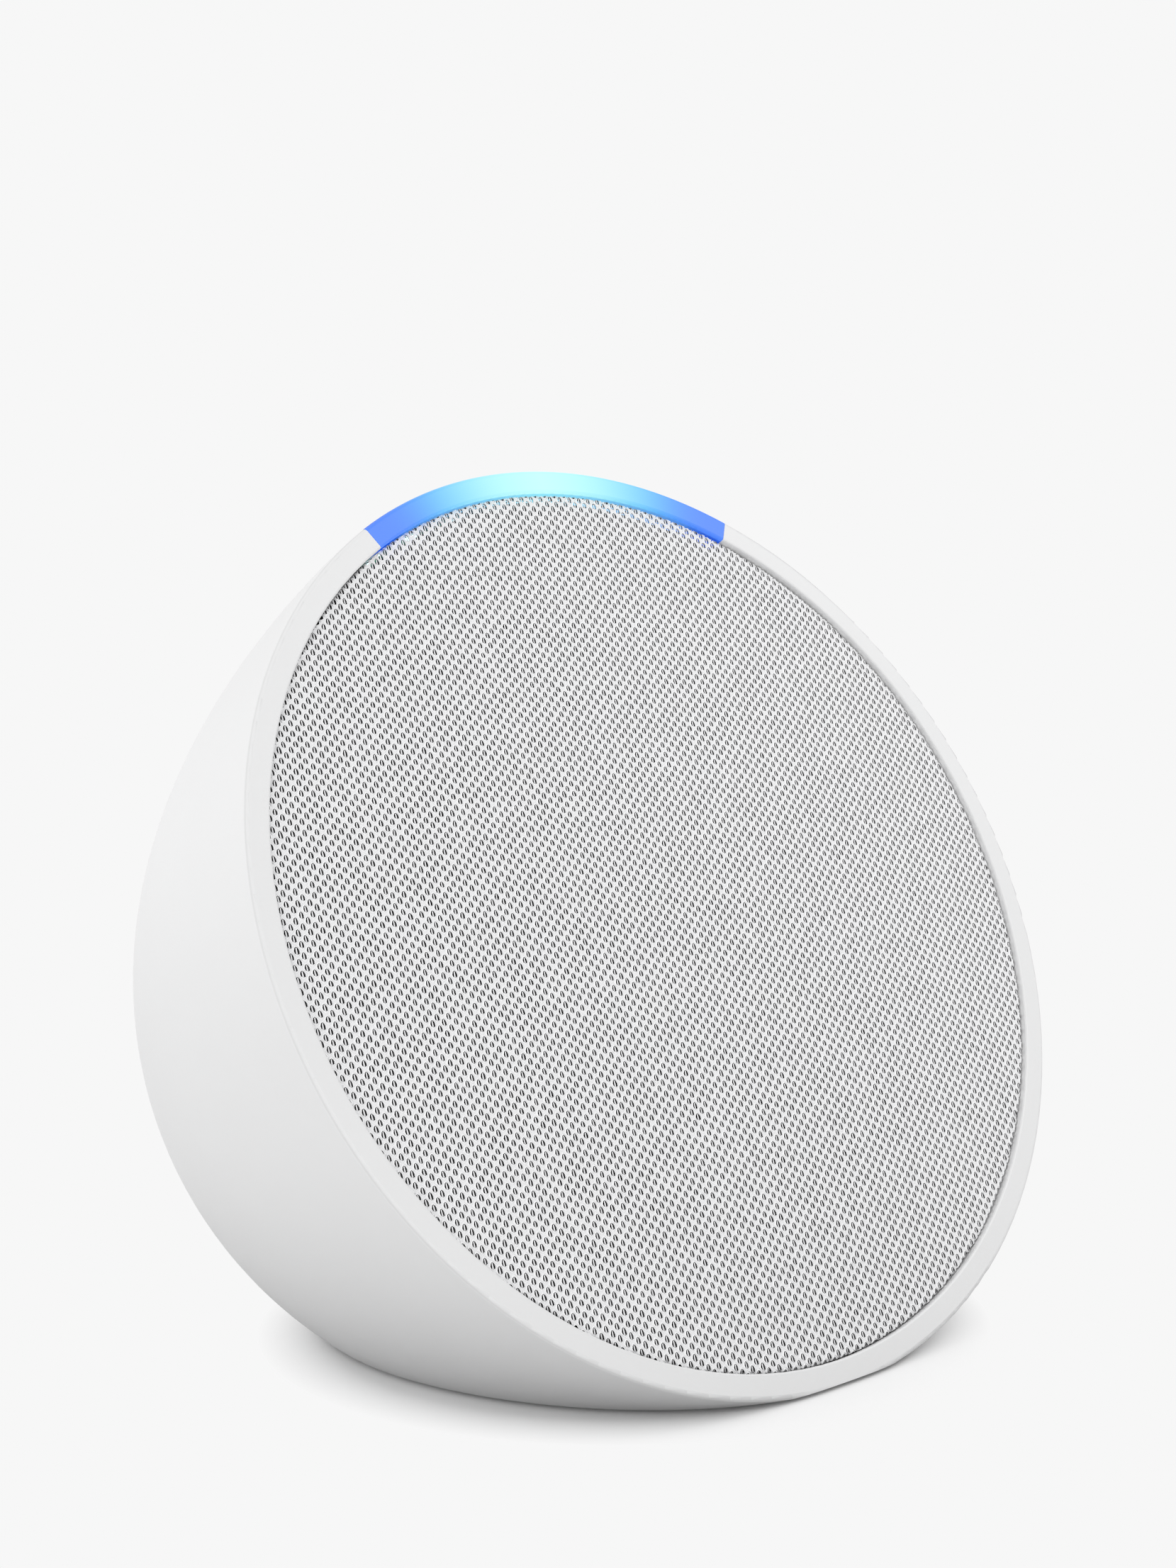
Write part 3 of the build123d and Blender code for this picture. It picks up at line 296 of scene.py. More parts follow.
def rubber(name, colour, roughness=0.75, pebble=0.35 * MM):
    """Rubber with a pebbled skin and a dusty bloom."""
    finish = Finish(name, colour, roughness, Sheen_Weight=0.15, Sheen_Roughness=0.5)
    finish.shade(finish.noise(3 * MM, 4), 0.12)
    finish.rough(finish.noise(1.2 * MM, 2), 0.08)
    finish.relief(finish.cells(pebble), 0.02 * MM, 0.6)
    return finish.material


def metal(name, colour, roughness=0.3, streak=(1, 1, 1)):
    """Plated or rolled metal with fine streaks and handling marks."""
    finish = Finish(name, colour, roughness, Metallic=1.0)
    lay = finish.stretched(*streak)
    lines = finish.noise(0.25 * MM, 3, lay)
    finish.shade(finish.noise(2.5 * MM, 4), 0.08)
    finish.rough(lines, 0.12)
    finish.relief(lines, 0.004 * MM, 0.5)
    return finish.material


def circuit_board(name):
    """Green solder mask over copper runs, with tinned vias."""
    mask = (0.012, 0.10, 0.045)
    over_copper = (0.03, 0.19, 0.085)
    tin = (0.62, 0.62, 0.58)
    finish = Finish(name, mask, 0.28, Coat_Weight=0.5, Coat_Roughness=0.12)
    runs = finish.node("TexBrick", Vector=finish.coordinates, Scale=1 / (5 * MM))
    runs.inputs["Mortar Size"].default_value = 0.035
    runs.inputs["Mortar Smooth"].default_value = 0.3
    copper = finish.between(finish.noise(1.6 * MM, 5), 0.47, 0.53)
    tone = finish.mix(copper, mask, over_copper)
    tone = finish.mix(runs.outputs["Fac"], tone, over_copper)
    vias = finish.between(finish.cells(1.7 * MM), 0.11, 0.09)
    finish.feed(finish.shader.inputs["Base Color"], finish.mix(vias, tone, tin))
    finish.rough(copper, 0.06)
    finish.relief(copper, 0.02 * MM, 0.6)
    return finish.material


def wound_wire(name, colour, pitch, axis):
    """Enamelled wire laid side by side along an axis."""
    finish = Finish(name, colour, 0.25, Metallic=1.0, Coat_Weight=0.6)
    along = finish.vector("DOT_PRODUCT", finish.coordinates, axis)
    turns = finish.math("SINE", finish.math("MULTIPLY", along, 2 * math.pi / pitch))
    finish.shade(finish.noise(0.8 * MM, 2), 0.15)
    finish.relief(finish.between(turns, -1, 1), pitch / 3)
    return finish.material


def woven(name, colour, pitch):
    """A plain resin-dipped weave."""
    finish = Finish(name, colour, 0.8, Sheen_Weight=0.2)
    step = 2 * math.pi / pitch
    parts = finish.node("SeparateXYZ", Vector=finish.coordinates)
    across = finish.math("SINE", finish.math("MULTIPLY", parts.outputs["X"], step))
    up = finish.math("SINE", finish.math("MULTIPLY", parts.outputs["Z"], step))
    weave = finish.between(finish.math("MULTIPLY", across, up), -1, 1)
    finish.shade(finish.mix(0.5, weave, finish.noise(1.5 * MM, 3)), 0.25)
    finish.relief(weave, pitch / 4)
    return finish.material


def pulp(name, colour):
    """Pressed fibre with a thin damping coat."""
    finish = Finish(name, colour, 0.55, Coat_Weight=0.1)
    fibres = finish.noise(0.5 * MM, 8)
    finish.shade(fibres, 0.3)
    finish.rough(fibres, 0.1)
    finish.relief(fibres, 0.03 * MM)
    return finish.material


def clear_guide(name):
    """Clear acrylic, slightly hazed by its moulded prisms."""
    finish = Finish(name, (0.86, 0.94, 1.0), 0.2, Transmission_Weight=0.6, IOR=1.49)
    finish.shade(finish.noise(1.5 * MM, 2), 0.04)
    finish.relief(finish.cells(0.4 * MM), 0.02 * MM, 0.5)
    return finish.material


def lit_package(name):
    """A white LED package with its yellow phosphor dome, lit."""
    finish = Finish(name, (0.85, 0.85, 0.72), 0.3, Emission_Strength=1.5)
    phosphor = finish.mix(finish.noise(0.4 * MM, 2), (0.55, 0.85, 1.0), (0.75, 1.0, 0.95))
    finish.feed(finish.shader.inputs["Emission Color"], phosphor)
    finish.relief(finish.noise(0.15 * MM, 2), 0.005 * MM)
    return finish.material


LIGHT_CENTRE = (0.50, 0.92, 0.89)
LIGHT_PALE = (0.36, 0.84, 0.87)
LIGHT_MIDDLE = (0.09, 0.50, 0.87)
LIGHT_END = (0.028, 0.175, 0.88)
LIGHT_CENTRE_DEEP = (0.30, 0.85, 0.92)
LIGHT_END_DEEP = (0.0, 0.07, 0.60)
LIGHT_HALF_ANGLE = math.radians(29.7)
LIGHT_OUTER_STRIP = 0.15 * MM
LIGHT_SIDE_START = -0.42 * MM
LIGHT_SIDE_FULL = -0.6 * MM


def glowing_diffuser(name):
    """Frosted plastic lit from behind: pale cyan at the top, blue at both ends."""
    finish = Finish(name, (0.05, 0.07, 0.09), 0.42, Emission_Strength=1.0)
    across, up, out, radius = finish.face_place()
    angle = finish.math("ABSOLUTE", finish.math("ARCTAN2", across, up))
    along = finish.math("DIVIDE", angle, LIGHT_HALF_ANGLE)
    face = finish.ramp(
        along, (0.0, LIGHT_CENTRE), (0.3, LIGHT_PALE), (0.56, LIGHT_MIDDLE), (0.78, LIGHT_END)
    )
    deep = finish.ramp(along, (0.0, LIGHT_CENTRE_DEEP), (0.8, LIGHT_END_DEEP))
    outer = finish.between(radius, RIM_RADIUS - LIGHT_OUTER_STRIP, RIM_RADIUS)
    side = finish.between(out, LIGHT_SIDE_START, LIGHT_SIDE_FULL)
    tone = finish.mix(finish.math("MAXIMUM", outer, side), face, deep)
    finish.feed(finish.shader.inputs["Emission Color"], tone)
    finish.relief(finish.noise(0.2 * MM, 2), 0.004 * MM)
    return finish.material


def knit_yarn(name, shaded_ground, crest, low, high):
    """Matte polyester yarn with painted shade: darker where the stitches sink, whitest where they stand proud."""
    finish = Finish(name, crest, 0.85, Sheen_Weight=0.3, Sheen_Roughness=0.5)
    out = finish.vector("DOT_PRODUCT", finish.coordinates, tuple(FACE_OUT))
    rise = finish.between(out, FRONT - low, FRONT - high)
    lint = finish.noise(0.09 * MM, 4)
    # Painted shade: the colour falls from the crest colour to the shaded ground colour as the yarn lies deeper.
    tone = finish.mix(rise, shaded_ground, crest)
    shadowed = finish.mix(finish.between(lint, 0.3, 0.7, 0.0, 0.16), tone, shaded_ground)
    finish.feed(finish.shader.inputs["Base Color"], shadowed)
    fibres = finish.noise(0.05 * MM, 3, finish.stretched(1, 1, 0.35))
    finish.relief(fibres, 0.012 * MM, 0.7)
    return finish.material


def printed_ink(name):
    """Dark grey ink, worn a little unevenly."""
    finish = Finish(name, (0.23, 0.235, 0.24), 0.45)
    finish.shade(finish.noise(0.15 * MM, 3), 0.1)
    finish.rough(finish.noise(0.3 * MM), 0.06)
    finish.relief(finish.noise(0.1 * MM, 2), 0.003 * MM)
    return finish.material


def make_finishes():
    """One finish for each material slot of the record, and the ink of the button marks."""
    return {
        "shell_white": shell("shell_white", WHITE),
        "button_white": moulded("button_white", BUTTON_WHITE, SATIN),
        "light_diffuser": glowing_diffuser("light_diffuser"),
        "clear_guide": clear_guide("clear_guide"),
        "knit_fabric": knit_yarn("knit_fabric", (0.7, 0.7, 0.7), (0.8, 0.8, 0.8), 0, 1 * MM),
        "dark_plastic": moulded("dark_plastic", (0.022, 0.022, 0.024), 0.6, drift=0.1),
        "inner_plastic": moulded("inner_plastic", (0.74, 0.74, 0.72), 0.5, drift=0.04),
        "foot_rubber": rubber("foot_rubber", (0.42, 0.425, 0.43)),
        "soft_rubber": rubber("soft_rubber", (0.05, 0.05, 0.05), 0.8, 0.2 * MM),
        "surround_rubber": rubber("surround_rubber", (0.02, 0.02, 0.02), 0.5, 0.15 * MM),
        "circuit_board": circuit_board("circuit_board"),
        "led_white": lit_package("led_white"),
        "screw_steel": metal("screw_steel", (0.55, 0.55, 0.57), 0.28),
        "basket_steel": moulded("basket_steel", (0.03, 0.03, 0.032), 0.4, 0.3 * MM, 0.01 * MM, 0.15),
        "magnet_steel": metal("magnet_steel", (0.5, 0.5, 0.53), 0.32, (4, 1, 1)),
        "shield_steel": metal("shield_steel", (0.72, 0.72, 0.71), 0.24, (1, 6, 1)),
        "heat_aluminium": metal("heat_aluminium", (0.8, 0.8, 0.81), 0.35, (0.1, 1, 1)),
        "copper_wire": wound_wire("copper_wire", (0.72, 0.32, 0.14), 0.2 * MM, tuple(FACE_OUT)),
        "contact_brass": metal("contact_brass", (0.83, 0.74, 0.5), 0.2, (1, 0.1, 1)),
        "cone_paper": pulp("cone_paper", (0.03, 0.03, 0.033)),
        "spider_cloth": woven("spider_cloth", (0.42, 0.25, 0.09), 0.5 * MM),
        "wire_insulation": rubber("wire_insulation", (0.45, 0.03, 0.02), 0.4, 0.5 * MM),
        "thermal_pad": rubber("thermal_pad", (0.36, 0.42, 0.55), 0.7, 0.6 * MM),
        "component_black": moulded("component_black", (0.02, 0.02, 0.022), 0.35, drift=0.15),
        "connector_plastic": moulded("connector_plastic", (0.78, 0.75, 0.64), 0.35, drift=0.04),
        "ribbon_film": moulded("ribbon_film", (0.42, 0.17, 0.03), 0.22, 0.8 * MM, 0.01 * MM, 0.1),
        "jack_plastic": moulded("jack_plastic", (0.022, 0.022, 0.024), 0.45, drift=0.1),
        "button_print": printed_ink("button_print"),
    }


def dress_nodes(finishes):
    """Gives every CAD node the finish of its material slot."""
    for part in frame["record"]["subparts"]:
        materials = NODES[part["node"]].data.materials
        materials.clear()
        materials.append(finishes[part["material_slot"]])


# ---- meshes ----------------------------------------------------------------------------
def mesh_object(name, points, faces, material):
    """A smooth-shaded object, linked into the scene."""
    data = bpy.data.meshes.new(name)
    data.from_pydata([tuple(p) for p in points], [], [tuple(f) for f in faces])
    data.update()
    data.materials.append(material)
    data.shade_smooth()
    made = bpy.data.objects.new(name, data)
    bpy.context.scene.collection.objects.link(made)
    return made


# ---- knit cloth ------------------------------------------------------------------------
# The cloth is laid out flat first, as columns of stitches that are offset by half a
# stitch, and then wrapped over the grille's edge. Each stitch is a six-sided cell.
STITCH_PITCH = 0.643 * MM
STITCH_HEIGHT = 1.10 * MM
CELL_TIP = (STITCH_PITCH**2 + STITCH_HEIGHT**2 / 4) / (2 * STITCH_PITCH)
KNIT_TURN = math.radians(-2.7)
KNIT_SEED = 7
NET_LIMIT = 47.9 * MM
LINING_LIMIT = 47.0 * MM
FOLD_RADIUS = 0.22 * MM
VALLEY = 0.11 * MM
LINING_DROP = 0.06 * MM
LINING_VALLEY = 0.19 * MM
TONGUE_RISE = 0.05 * MM
SCATTER = 0.014 * MM
SWELL = 0.045
LIFT = 0.006 * MM
EYELET_WIDTH = 0.264 * MM
EYELET_HEIGHT = 0.368 * MM
SLIT_WIDTH = 0.240 * MM
SLIT_HEIGHT = 0.345 * MM
EYELET_POINTS = 8


class Stitches:
    """The cells' middles, their shared corners and each cell's own random share."""

    def __init__(self, limit):
        columns = int(NET_LIMIT / STITCH_PITCH) + 3
        rows = int(NET_LIMIT / STITCH_HEIGHT) + 3
        column, row = np.meshgrid(
            np.arange(-columns, columns + 1), np.arange(-rows, rows + 1), indexing="ij"
        )
        odd = column % 2
        self.x = column * STITCH_PITCH
        self.y = (row + odd / 2) * STITCH_HEIGHT
        self.count = self.x.size
        index = np.arange(self.count).reshape(self.x.shape)
        inner = np.hypot(self.x, self.y) < limit
        self.cell = index[inner]
        step = odd[inner]
        i, j = np.nonzero(inner)
        right = self.count
        self.corners = np.stack([
            right + index[i, j],
            index[i + 1, j + step],
            right + index[i - 1, j + step],
            index[i, j],
            right + index[i - 1, j + step - 1],
            index[i + 1, j + step - 1],
        ], axis=1)
        self.x, self.y = self.x.ravel(), self.y.ravel()
        self.random = np.random.RandomState(KNIT_SEED)

    def corner_points(self, height):
        """The left tips and then the right tips of all the cells."""
        left = np.stack([self.x - CELL_TIP, self.y, np.full(self.count, height)], axis=1)
        right = np.stack([self.x + CELL_TIP, self.y, np.full(self.count, height)], axis=1)
        return [left, right]

    def own_points(self, offsets, height):
        """Each cell's own loop: the same outline, moved and scaled a little per cell."""
        shift = self.random.normal(0, SCATTER, (self.count, 2))
        scale = 1 + self.random.normal(0, SWELL, (self.count, 2))
        lift = self.random.normal(0, LIFT, self.count)
        loops = []
        for (x, y), h in zip(offsets, height):
            loops.append(np.stack([
                self.x + shift[:, 0] + x * scale[:, 0],
                self.y + shift[:, 1] + y * scale[:, 1],
                h + lift,
            ], axis=1))
        return loops

    def own(self, k):
        """Indices of point k of each shown cell's own loop."""
        return (2 + k) * self.count + self.cell


def waver(points):
    """Lets the columns wander as knitted cloth does."""
    x, y = points[:, 0] / MM, points[:, 1] / MM
    moved = points.copy()
    moved[:, 0] += MM * (
        0.10 * np.sin(0.11 * y + 0.05 * x + 0.4)
        + 0.045 * np.sin(0.53 * y - 0.21 * x + 1.9)
        + 0.02 * np.sin(1.9 * y + 0.8 * x)
    )
    moved[:, 1] += MM * (
        0.12 * np.sin(0.09 * x - 0.04 * y + 2.2)
        + 0.05 * np.sin(0.61 * x + 0.17 * y)
        + 0.02 * np.sin(2.3 * x - 0.7 * y + 0.7)
    )
    return moved


def wrap(points):
    """Wraps flat cloth (x, y, height) over the grille's rounded edge, as face points."""
    turn = np.array([
        [math.cos(KNIT_TURN), math.sin(KNIT_TURN)],
        [-math.sin(KNIT_TURN), math.cos(KNIT_TURN)],
    ])
    flat = points[:, :2] @ turn
    height = points[:, 2]
    span = np.hypot(flat[:, 0], flat[:, 1])
    start = FABRIC_RADIUS - FOLD_RADIUS
    angle = np.clip((span - start) / FOLD_RADIUS, 0, math.pi / 2)
    past = np.maximum(span - start - FOLD_RADIUS * math.pi / 2, 0)
    radius = np.minimum(span, start) + (FOLD_RADIUS + height) * np.sin(angle)
    out = (FOLD_RADIUS + height) * np.cos(angle) - FOLD_RADIUS - past - FABRIC_RECESS
    spread = radius / np.maximum(span, 1e-9)
    return np.stack([flat[:, 0] * spread, flat[:, 1] * spread, out], axis=1)


def egg(width, height, count, narrow=0.2):
    """An oval that is narrower at its top, as points from its right side round."""
    outline = []
    for k in range(count):
        angle = 2 * math.pi * k / count
        rise = math.sin(angle)
        outline.append((width * math.cos(angle) * (1 - narrow * rise), height * rise))
    return outline


def cloth(name, points, faces, material):
    """Drops unused points and lays the cloth on the grille."""
    faces = [np.stack(face, axis=1) for face in faces]
    used = np.unique(np.concatenate([face.ravel() for face in faces]))
    fresh = np.zeros(sum(len(p) for p in points), int)
    fresh[used] = np.arange(len(used))
    flat = waver(np.concatenate(points))[used]
    lists = [row for face in faces for row in fresh[face].tolist()]
    return mesh_object(name, from_face(wrap(flat)), lists, material)


def make_net(material):
    """The front of the knit: a net with one egg-shaped eyelet in each stitch."""
    stitches = Stitches(NET_LIMIT)
    outline = egg(EYELET_WIDTH, EYELET_HEIGHT, EYELET_POINTS)
    points = stitches.corner_points(-VALLEY)
    points += stitches.own_points(outline, [0.0] * len(outline))
    corner = stitches.corners.T
    loop = [stitches.own(k) for k in range(EYELET_POINTS)]
    faces = [
        (corner[0], loop[1], loop[0]), (corner[0], corner[1], loop[1]),
        (corner[1], loop[2], loop[1]), (corner[1], corner[2], loop[2]),
        (corner[2], loop[3], loop[2]), (corner[2], corner[3], loop[3]),
        (corner[3], loop[4], loop[3]), (corner[3], loop[5], loop[4]),
        (corner[3], corner[4], loop[5]), (corner[4], loop[6], loop[5]),
        (corner[4], corner[5], loop[6]), (corner[5], loop[7], loop[6]),
        (corner[5], corner[0], loop[7]), (corner[0], loop[0], loop[7]),
    ]
    return cloth("grille_knit", points, faces, material)


def make_lining(material):
    """The back of the knit: a tongue of yarn in each stitch between two slits."""
    stitches = Stitches(LINING_LIMIT)
    w, h = SLIT_WIDTH, SLIT_HEIGHT
    arch = [
        (w, -0.35 * h), (0.86 * w, 0.55 * h), (0.0, 0.93 * h), (-0.84 * w, 0.84 * h),
        (-w, 0.0), (-0.9 * w, -0.6 * h), (-0.34 * w, -0.66 * h), (0.38 * w, -0.95 * h),
        (0.9 * w, -0.95 * h), (-0.22 * w, 0.78 * h), (0.16 * w, 0.72 * h),
    ]
    heights = [0.0] * 9 + [TONGUE_RISE, TONGUE_RISE]
    points = stitches.corner_points(-LINING_VALLEY)
    points += stitches.own_points(arch, [-LINING_DROP + rise for rise in heights])
    corner = stitches.corners.T
    loop = [stitches.own(k) for k in range(len(arch))]
    faces = [
        (corner[0], loop[1], loop[0]), (corner[0], corner[1], loop[1]),
        (corner[1], loop[2], loop[1]), (corner[1], corner[2], loop[2]),
        (corner[2], loop[3], loop[2]), (corner[2], corner[3], loop[3]),
        (corner[3], loop[4], loop[3]), (corner[3], loop[5], loop[4]),
        (corner[3], corner[4], loop[5]), (corner[4], loop[6], loop[5]),
        (corner[4], corner[5], loop[7], loop[6]), (corner[5], loop[8], loop[7]),
        (corner[5], corner[0], loop[8]), (corner[0], loop[0], loop[8]),
        (loop[6], loop[7], loop[10], loop[9]),
    ]
    return cloth("knit_lining", points, faces, material)


def make_knit():
    """The grille's cloth: the net that shows, and the lining just behind it."""
    # Both cloths carry painted shade: darker in their low places, the lining more so as it lies behind the net.
    net = make_net(knit_yarn(
        "knit_net", (0.82, 0.822, 0.83), (0.99, 0.99, 0.995),
        FABRIC_RECESS + 0.4 * VALLEY, FABRIC_RECESS,
    ))
    lining = make_lining(knit_yarn(
        "knit_lining", (0.62, 0.62, 0.63), (0.95, 0.95, 0.96),
        FABRIC_RECESS + LINING_DROP + 0.02 * MM, FABRIC_RECESS + LINING_DROP - TONGUE_RISE,
    ))
    for piece in (net, lining):
        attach(piece, "chassis")
    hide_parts("grille_fabric")


# ---- button marks ----------------------------------------------------------------------
MARK_WIDTH = 0.42 * MM
MARK_HEIGHT = 0.03 * MM
MARK_REACH = 1.35 * MM
MARK_RAY_START = 20 * MM
FINE_MARK_WIDTH = 0.24 * MM
MIC_RADIUS = 0.48 * MM
MIC_TOP = 0.75 * MM
MIC_FOOT = 0.1 * MM
CRADLE_CENTRE = 0.15 * MM
CRADLE_RADIUS = 0.98 * MM
STEM_TOP = -0.83 * MM
STEM_END = -1.4 * MM
ROUND_END_STEPS = 6


def arc(x, y, radius, start, end, count=14):
    """Points along an arc, with its angles in degrees from the right."""
    angles = np.radians(np.linspace(start, end, count))
    return [(x + radius * math.cos(a), y + radius * math.sin(a)) for a in angles]


def line(first, last, count=10):
    """Evenly spaced points from first to last."""
    return [tuple(p) for p in np.linspace(first, last, count)]


def stroke(points, width):
    """A ribbon of even width along points, with round ends, as (points, faces)."""
    path = np.array(points, float)
    along = np.gradient(path, axis=0)
    along /= np.linalg.norm(along, axis=1)[:, None]
    side = np.stack([-along[:, 1], along[:, 0]], axis=1) * width / 2
    left, right = list(path + side), list(path - side)
    faces = []
    count = len(path)
    for k in range(count - 1):
        faces.append((k, count + k, count + k + 1, k + 1))
    outline = left + right
    for end, sign in ((0, 1), (count - 1, -1)):
        ring = [end]
        for step in range(1, ROUND_END_STEPS):
            turn = math.pi * step / ROUND_END_STEPS
            spoke = side[end] * math.cos(turn) - sign * along[end] * width / 2 * math.sin(turn)
            ring.append(len(outline))
            outline.append(path[end] + spoke)
        ring.append(count + end)
        faces.append(tuple(ring if sign > 0 else ring[::-1]))
    return outline, faces


DASH = line((-MARK_REACH, 0), (MARK_REACH, 0))
BAR = line((0, -MARK_REACH), (0, MARK_REACH))
CAPSULE = (
    arc(0, MIC_TOP, MIC_RADIUS, 180, 0) + arc(0, MIC_FOOT, MIC_RADIUS, 0, -180) + [(-MIC_RADIUS, MIC_TOP)]
)
CRADLE = arc(0, CRADLE_CENTRE, CRADLE_RADIUS, 190, 350)
STEM = line((0, STEM_TOP), (0, STEM_END), 5)
SLASH = line((-MARK_REACH, MARK_REACH), (MARK_REACH, -MARK_REACH), 16)
MARKS = {
    "volume_down": (MARK_WIDTH, [DASH]),
    "volume_up": (MARK_WIDTH, [DASH, BAR]),
    "mic_off": (FINE_MARK_WIDTH, [CAPSULE, CRADLE, STEM, SLASH]),
}


def make_mark(key, width, strokes, material):
    """A raised symbol that follows the button's crown."""
    button = NODES[f"{key}_button"]
    tree = BVHTree.FromPolygons(
        [v.co for v in button.data.vertices], [p.vertices for p in button.data.polygons]
    )
    low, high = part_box(f"{key}_button")
    points, faces = [], []
    middle = (low + high) / 2
    for path in strokes:
        outline, ribbons = stroke(path, width)
        base = len(points)
        top = []
        for x, y in outline:
            above = middle + FACE_RIGHT * float(x) - FACE_OUT * float(y) + FACE_UP * MARK_RAY_START
            hit = tree.ray_cast(above, -FACE_UP)[0]
            top.append((hit + FACE_UP * MARK_HEIGHT, hit - FACE_UP * MARK_HEIGHT))
        count = len(top)
        points += [p for p, _ in top] + [q for _, q in top]
        faces += [tuple(base + k for k in face) for face in ribbons]
        edges = {}
        for face in ribbons:
            for a, b in zip(face, face[1:] + face[:1]):
                edges[(a, b)] = True
        for a, b in edges:
            if (b, a) not in edges:
                faces.append((base + b, base + a, base + count + a, base + count + b))
    mark = mesh_object(f"{key}_mark", points, faces, material)
    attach(mark, f"{key}_key")


# ---- driver rings in sectors -----------------------------------------------------------
FLEX_SECTORS = 12


def make_flexing_ring(node, material):
    """Cuts a driver ring, which lies between the moving cone and the still frame, into sectors along its radii.
    """
    source = NODES[node].data
    half = math.pi / FLEX_SECTORS
    for index in range(FLEX_SECTORS):
        middle = 2 * half * index
        sector = bmesh.new()
        sector.from_mesh(source)
        for side in (-1, 1):
            angle = middle + side * half
            outward = side * (FACE_UP * math.cos(angle) - FACE_RIGHT * math.sin(angle))
            everything = sector.verts[:] + sector.edges[:] + sector.faces[:]
            bmesh.ops.bisect_plane(
                sector, geom=everything, plane_co=FACE_CENTRE, plane_no=outward, clear_outer=True,
            )
        data = bpy.data.meshes.new(f"{node}_sector_{index + 1}")
        sector.to_mesh(data)
        sector.free()
        data.materials.clear()
        data.materials.append(material)
        piece = bpy.data.objects.new(data.name, data)
        bpy.context.scene.collection.objects.link(piece)
        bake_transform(piece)
        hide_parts(node)


# ---- surroundings ----------------------------------------------------------------------
SURROUND_BRIGHTNESS = 0.93
SIDE_LIGHT = (-0.45, 0.02, -0.2)
BASE_LIGHT = 1.12
FLOOR_TONE = 0.93
# Painted shade: the floor's colour for bounced light, darker near the housing.
FLOOR_BOUNCE_SHADE = (0.5, 0.8)
FLOOR_RADIUS = 6.0
FLOOR_SIDES = 64
GROUND_REACH = 1.5 * MM
# In multiples of the footprint:
BOUNCE_SHADE_REACH = (1.0, 2.4)
SEEN_REACH = (1.0, 1.22)
# In metres from the middle of the floor:
FAR_FADE = (0.16, 0.45)
KEY_PLACE = (0.26, -0.24, 0.32)
KEY_SIZE = 0.25
KEY_POWER = 0.3


def footprint():
    """Middle and half size of the housing's outline where it nears the floor."""
    points = np.array([vertex.co for vertex in NODES["housing"].data.vertices])
    low = points[points[:, 2] < points[:, 2].min() + GROUND_REACH]
    middle = (low.min(axis=0) + low.max(axis=0)) / 2
    half = (low.max(axis=0) - low.min(axis=0)) / 2
    return middle, half


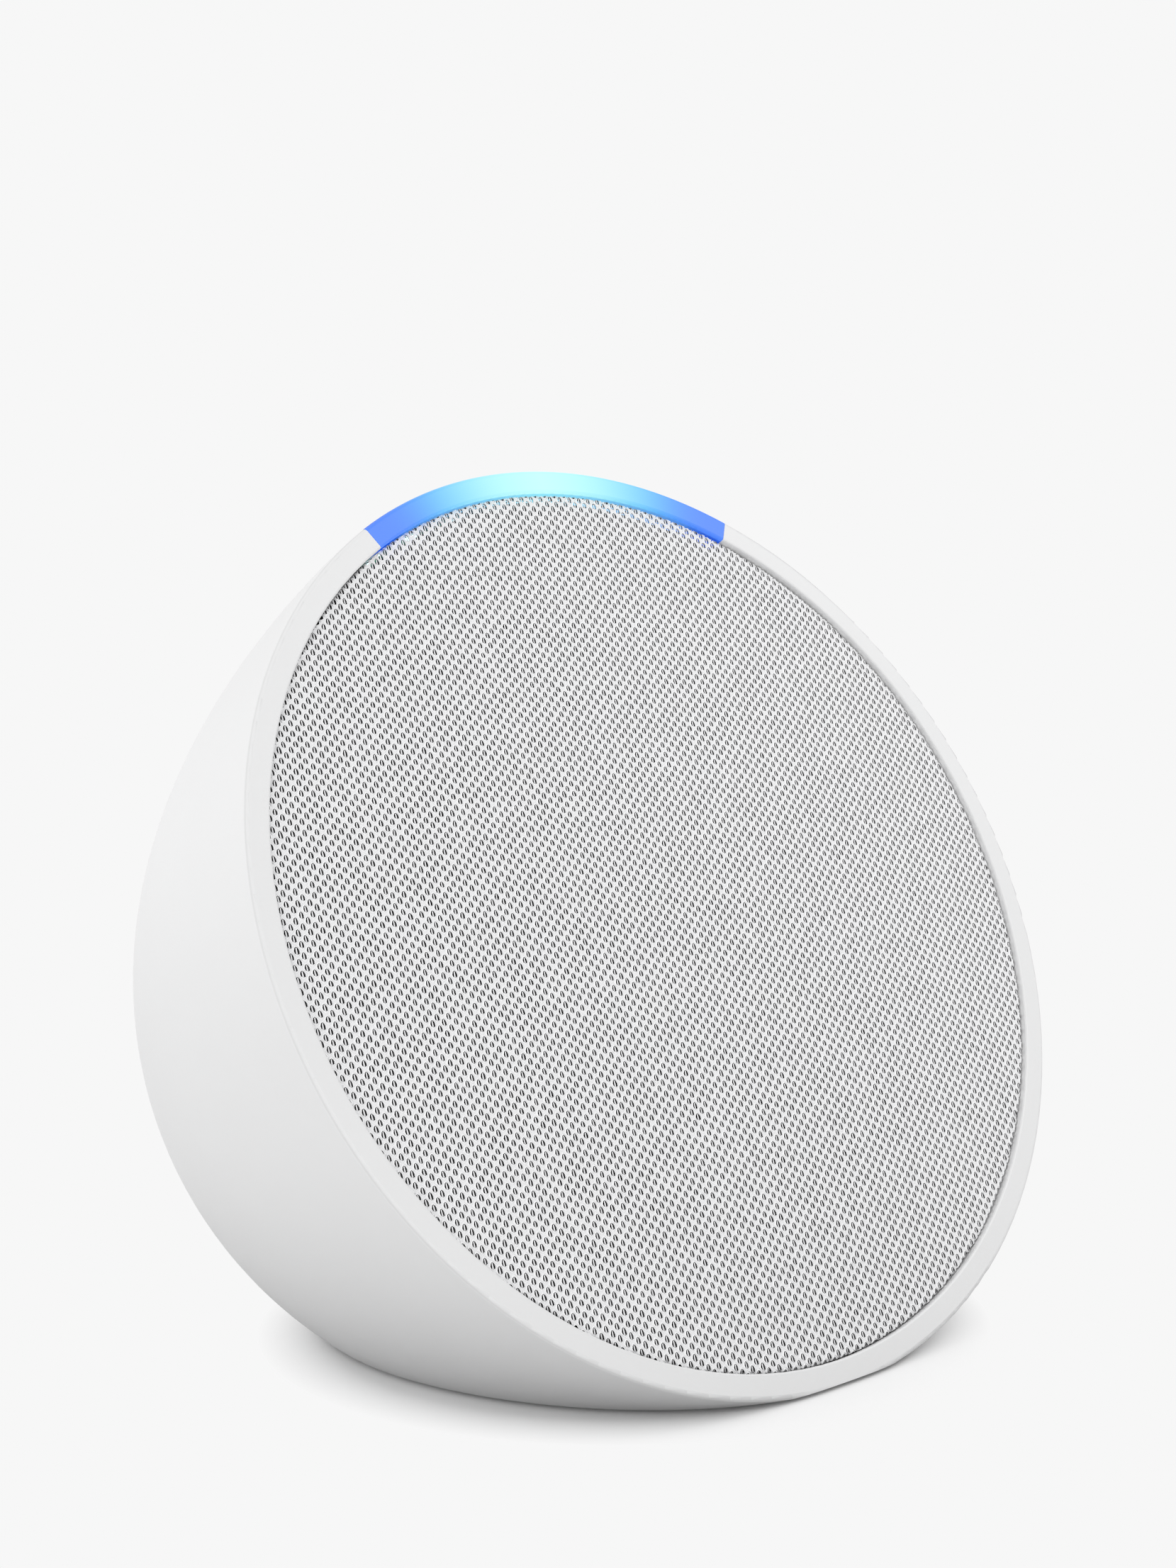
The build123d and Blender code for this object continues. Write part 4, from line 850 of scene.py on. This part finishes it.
def make_floor():
    """A round pale floor that meets the bright background a short way from the housing, with painted shade near
    the housing in the light it bounces.
    """
    ring = []
    for k in range(FLOOR_SIDES):
        angle = 2 * math.pi * k / FLOOR_SIDES
        ring.append((FLOOR_RADIUS * math.cos(angle), FLOOR_RADIUS * math.sin(angle), 0))
    finish = Finish("floor", (FLOOR_TONE,) * 3, 0.9)
    floor = mesh_object("floor", ring, [tuple(range(FLOOR_SIDES))], finish.material)
    middle, half = footprint()
    place = finish.vector("SUBTRACT", finish.coordinates, (middle[0], middle[1], 0))
    place = finish.vector("MULTIPLY", place, (1 / half[0], 1 / half[1], 1))
    seen = finish.node("LightPath").outputs["Is Camera Ray"]
    # Painted shade: rays other than the camera's see the floor darker near the housing.
    bounce_shade = finish.between(finish.vector("LENGTH", place), *BOUNCE_SHADE_REACH, *FLOOR_BOUNCE_SHADE)
    tone = finish.mix(seen, bounce_shade, (FLOOR_TONE,) * 3)
    finish.feed(finish.shader.inputs["Base Color"], tone)
    beyond = finish.between(finish.vector("LENGTH", place), *SEEN_REACH)
    far = finish.between(finish.vector("LENGTH", finish.coordinates), *FAR_FADE)
    share = finish.math("MAXIMUM", far, finish.math("MULTIPLY", beyond, seen))
    glow = finish.node("Emission", Color=(1, 1, 1, 1), Strength=SURROUND_BRIGHTNESS)
    mixed = finish.tree.nodes.new("ShaderNodeMixShader")
    output = next(n for n in finish.tree.nodes if n.type == "OUTPUT_MATERIAL")
    finish.feed(mixed.inputs[0], share)
    finish.feed(mixed.inputs[1], finish.shader.outputs[0])
    finish.feed(mixed.inputs[2], glow.outputs[0])
    finish.feed(output.inputs["Surface"], mixed.outputs[0])


def make_world():
    """A pale surround that gives more light from the object's left side."""
    world = bpy.data.worlds.new("surround")
    world.use_nodes = True
    nodes, links = world.node_tree.nodes, world.node_tree.links
    background = nodes["Background"]
    background.inputs["Color"].default_value = (1, 1, 1, 1)
    where = nodes.new("ShaderNodeTexCoord")
    lean = nodes.new("ShaderNodeVectorMath")
    lean.operation = "DOT_PRODUCT"
    lean.inputs[1].default_value = SIDE_LIGHT
    level = nodes.new("ShaderNodeMath")
    level.inputs[1].default_value = BASE_LIGHT
    path = nodes.new("ShaderNodeLightPath")
    choice = nodes.new("ShaderNodeMix")
    choice.inputs["B"].default_value = SURROUND_BRIGHTNESS
    links.new(where.outputs["Generated"], lean.inputs[0])
    links.new(lean.outputs["Value"], level.inputs[0])
    links.new(path.outputs["Is Camera Ray"], choice.inputs["Factor"])
    links.new(level.outputs[0], choice.inputs["A"])
    links.new(choice.outputs["Result"], background.inputs["Strength"])
    bpy.context.scene.world = world


def make_key_light():
    """A soft disk of light from the upper right, aimed at the face."""
    data = bpy.data.lights.new("key", "AREA")
    data.shape = "DISK"
    data.size = KEY_SIZE
    data.energy = KEY_POWER
    light = bpy.data.objects.new("key", data)
    light.location = KEY_PLACE
    light.rotation_euler = (FACE_CENTRE - Vector(KEY_PLACE)).to_track_quat("-Z", "Y").to_euler()
    bpy.context.scene.collection.objects.link(light)


# ---- build -----------------------------------------------------------------------------
bpy.context.scene.view_settings.view_transform = "Standard"
make_camera()
make_floor()
make_world()
make_key_light()
FINISHES = make_finishes()
dress_nodes(FINISHES)
make_knit()
make_flexing_ring("surround", FINISHES["surround_rubber"])
make_flexing_ring("spider", FINISHES["spider_cloth"])
for key_name, (mark_width, mark_strokes) in MARKS.items():
    make_mark(key_name, mark_width, mark_strokes, FINISHES["button_print"])

bpy.context.view_layer.update()
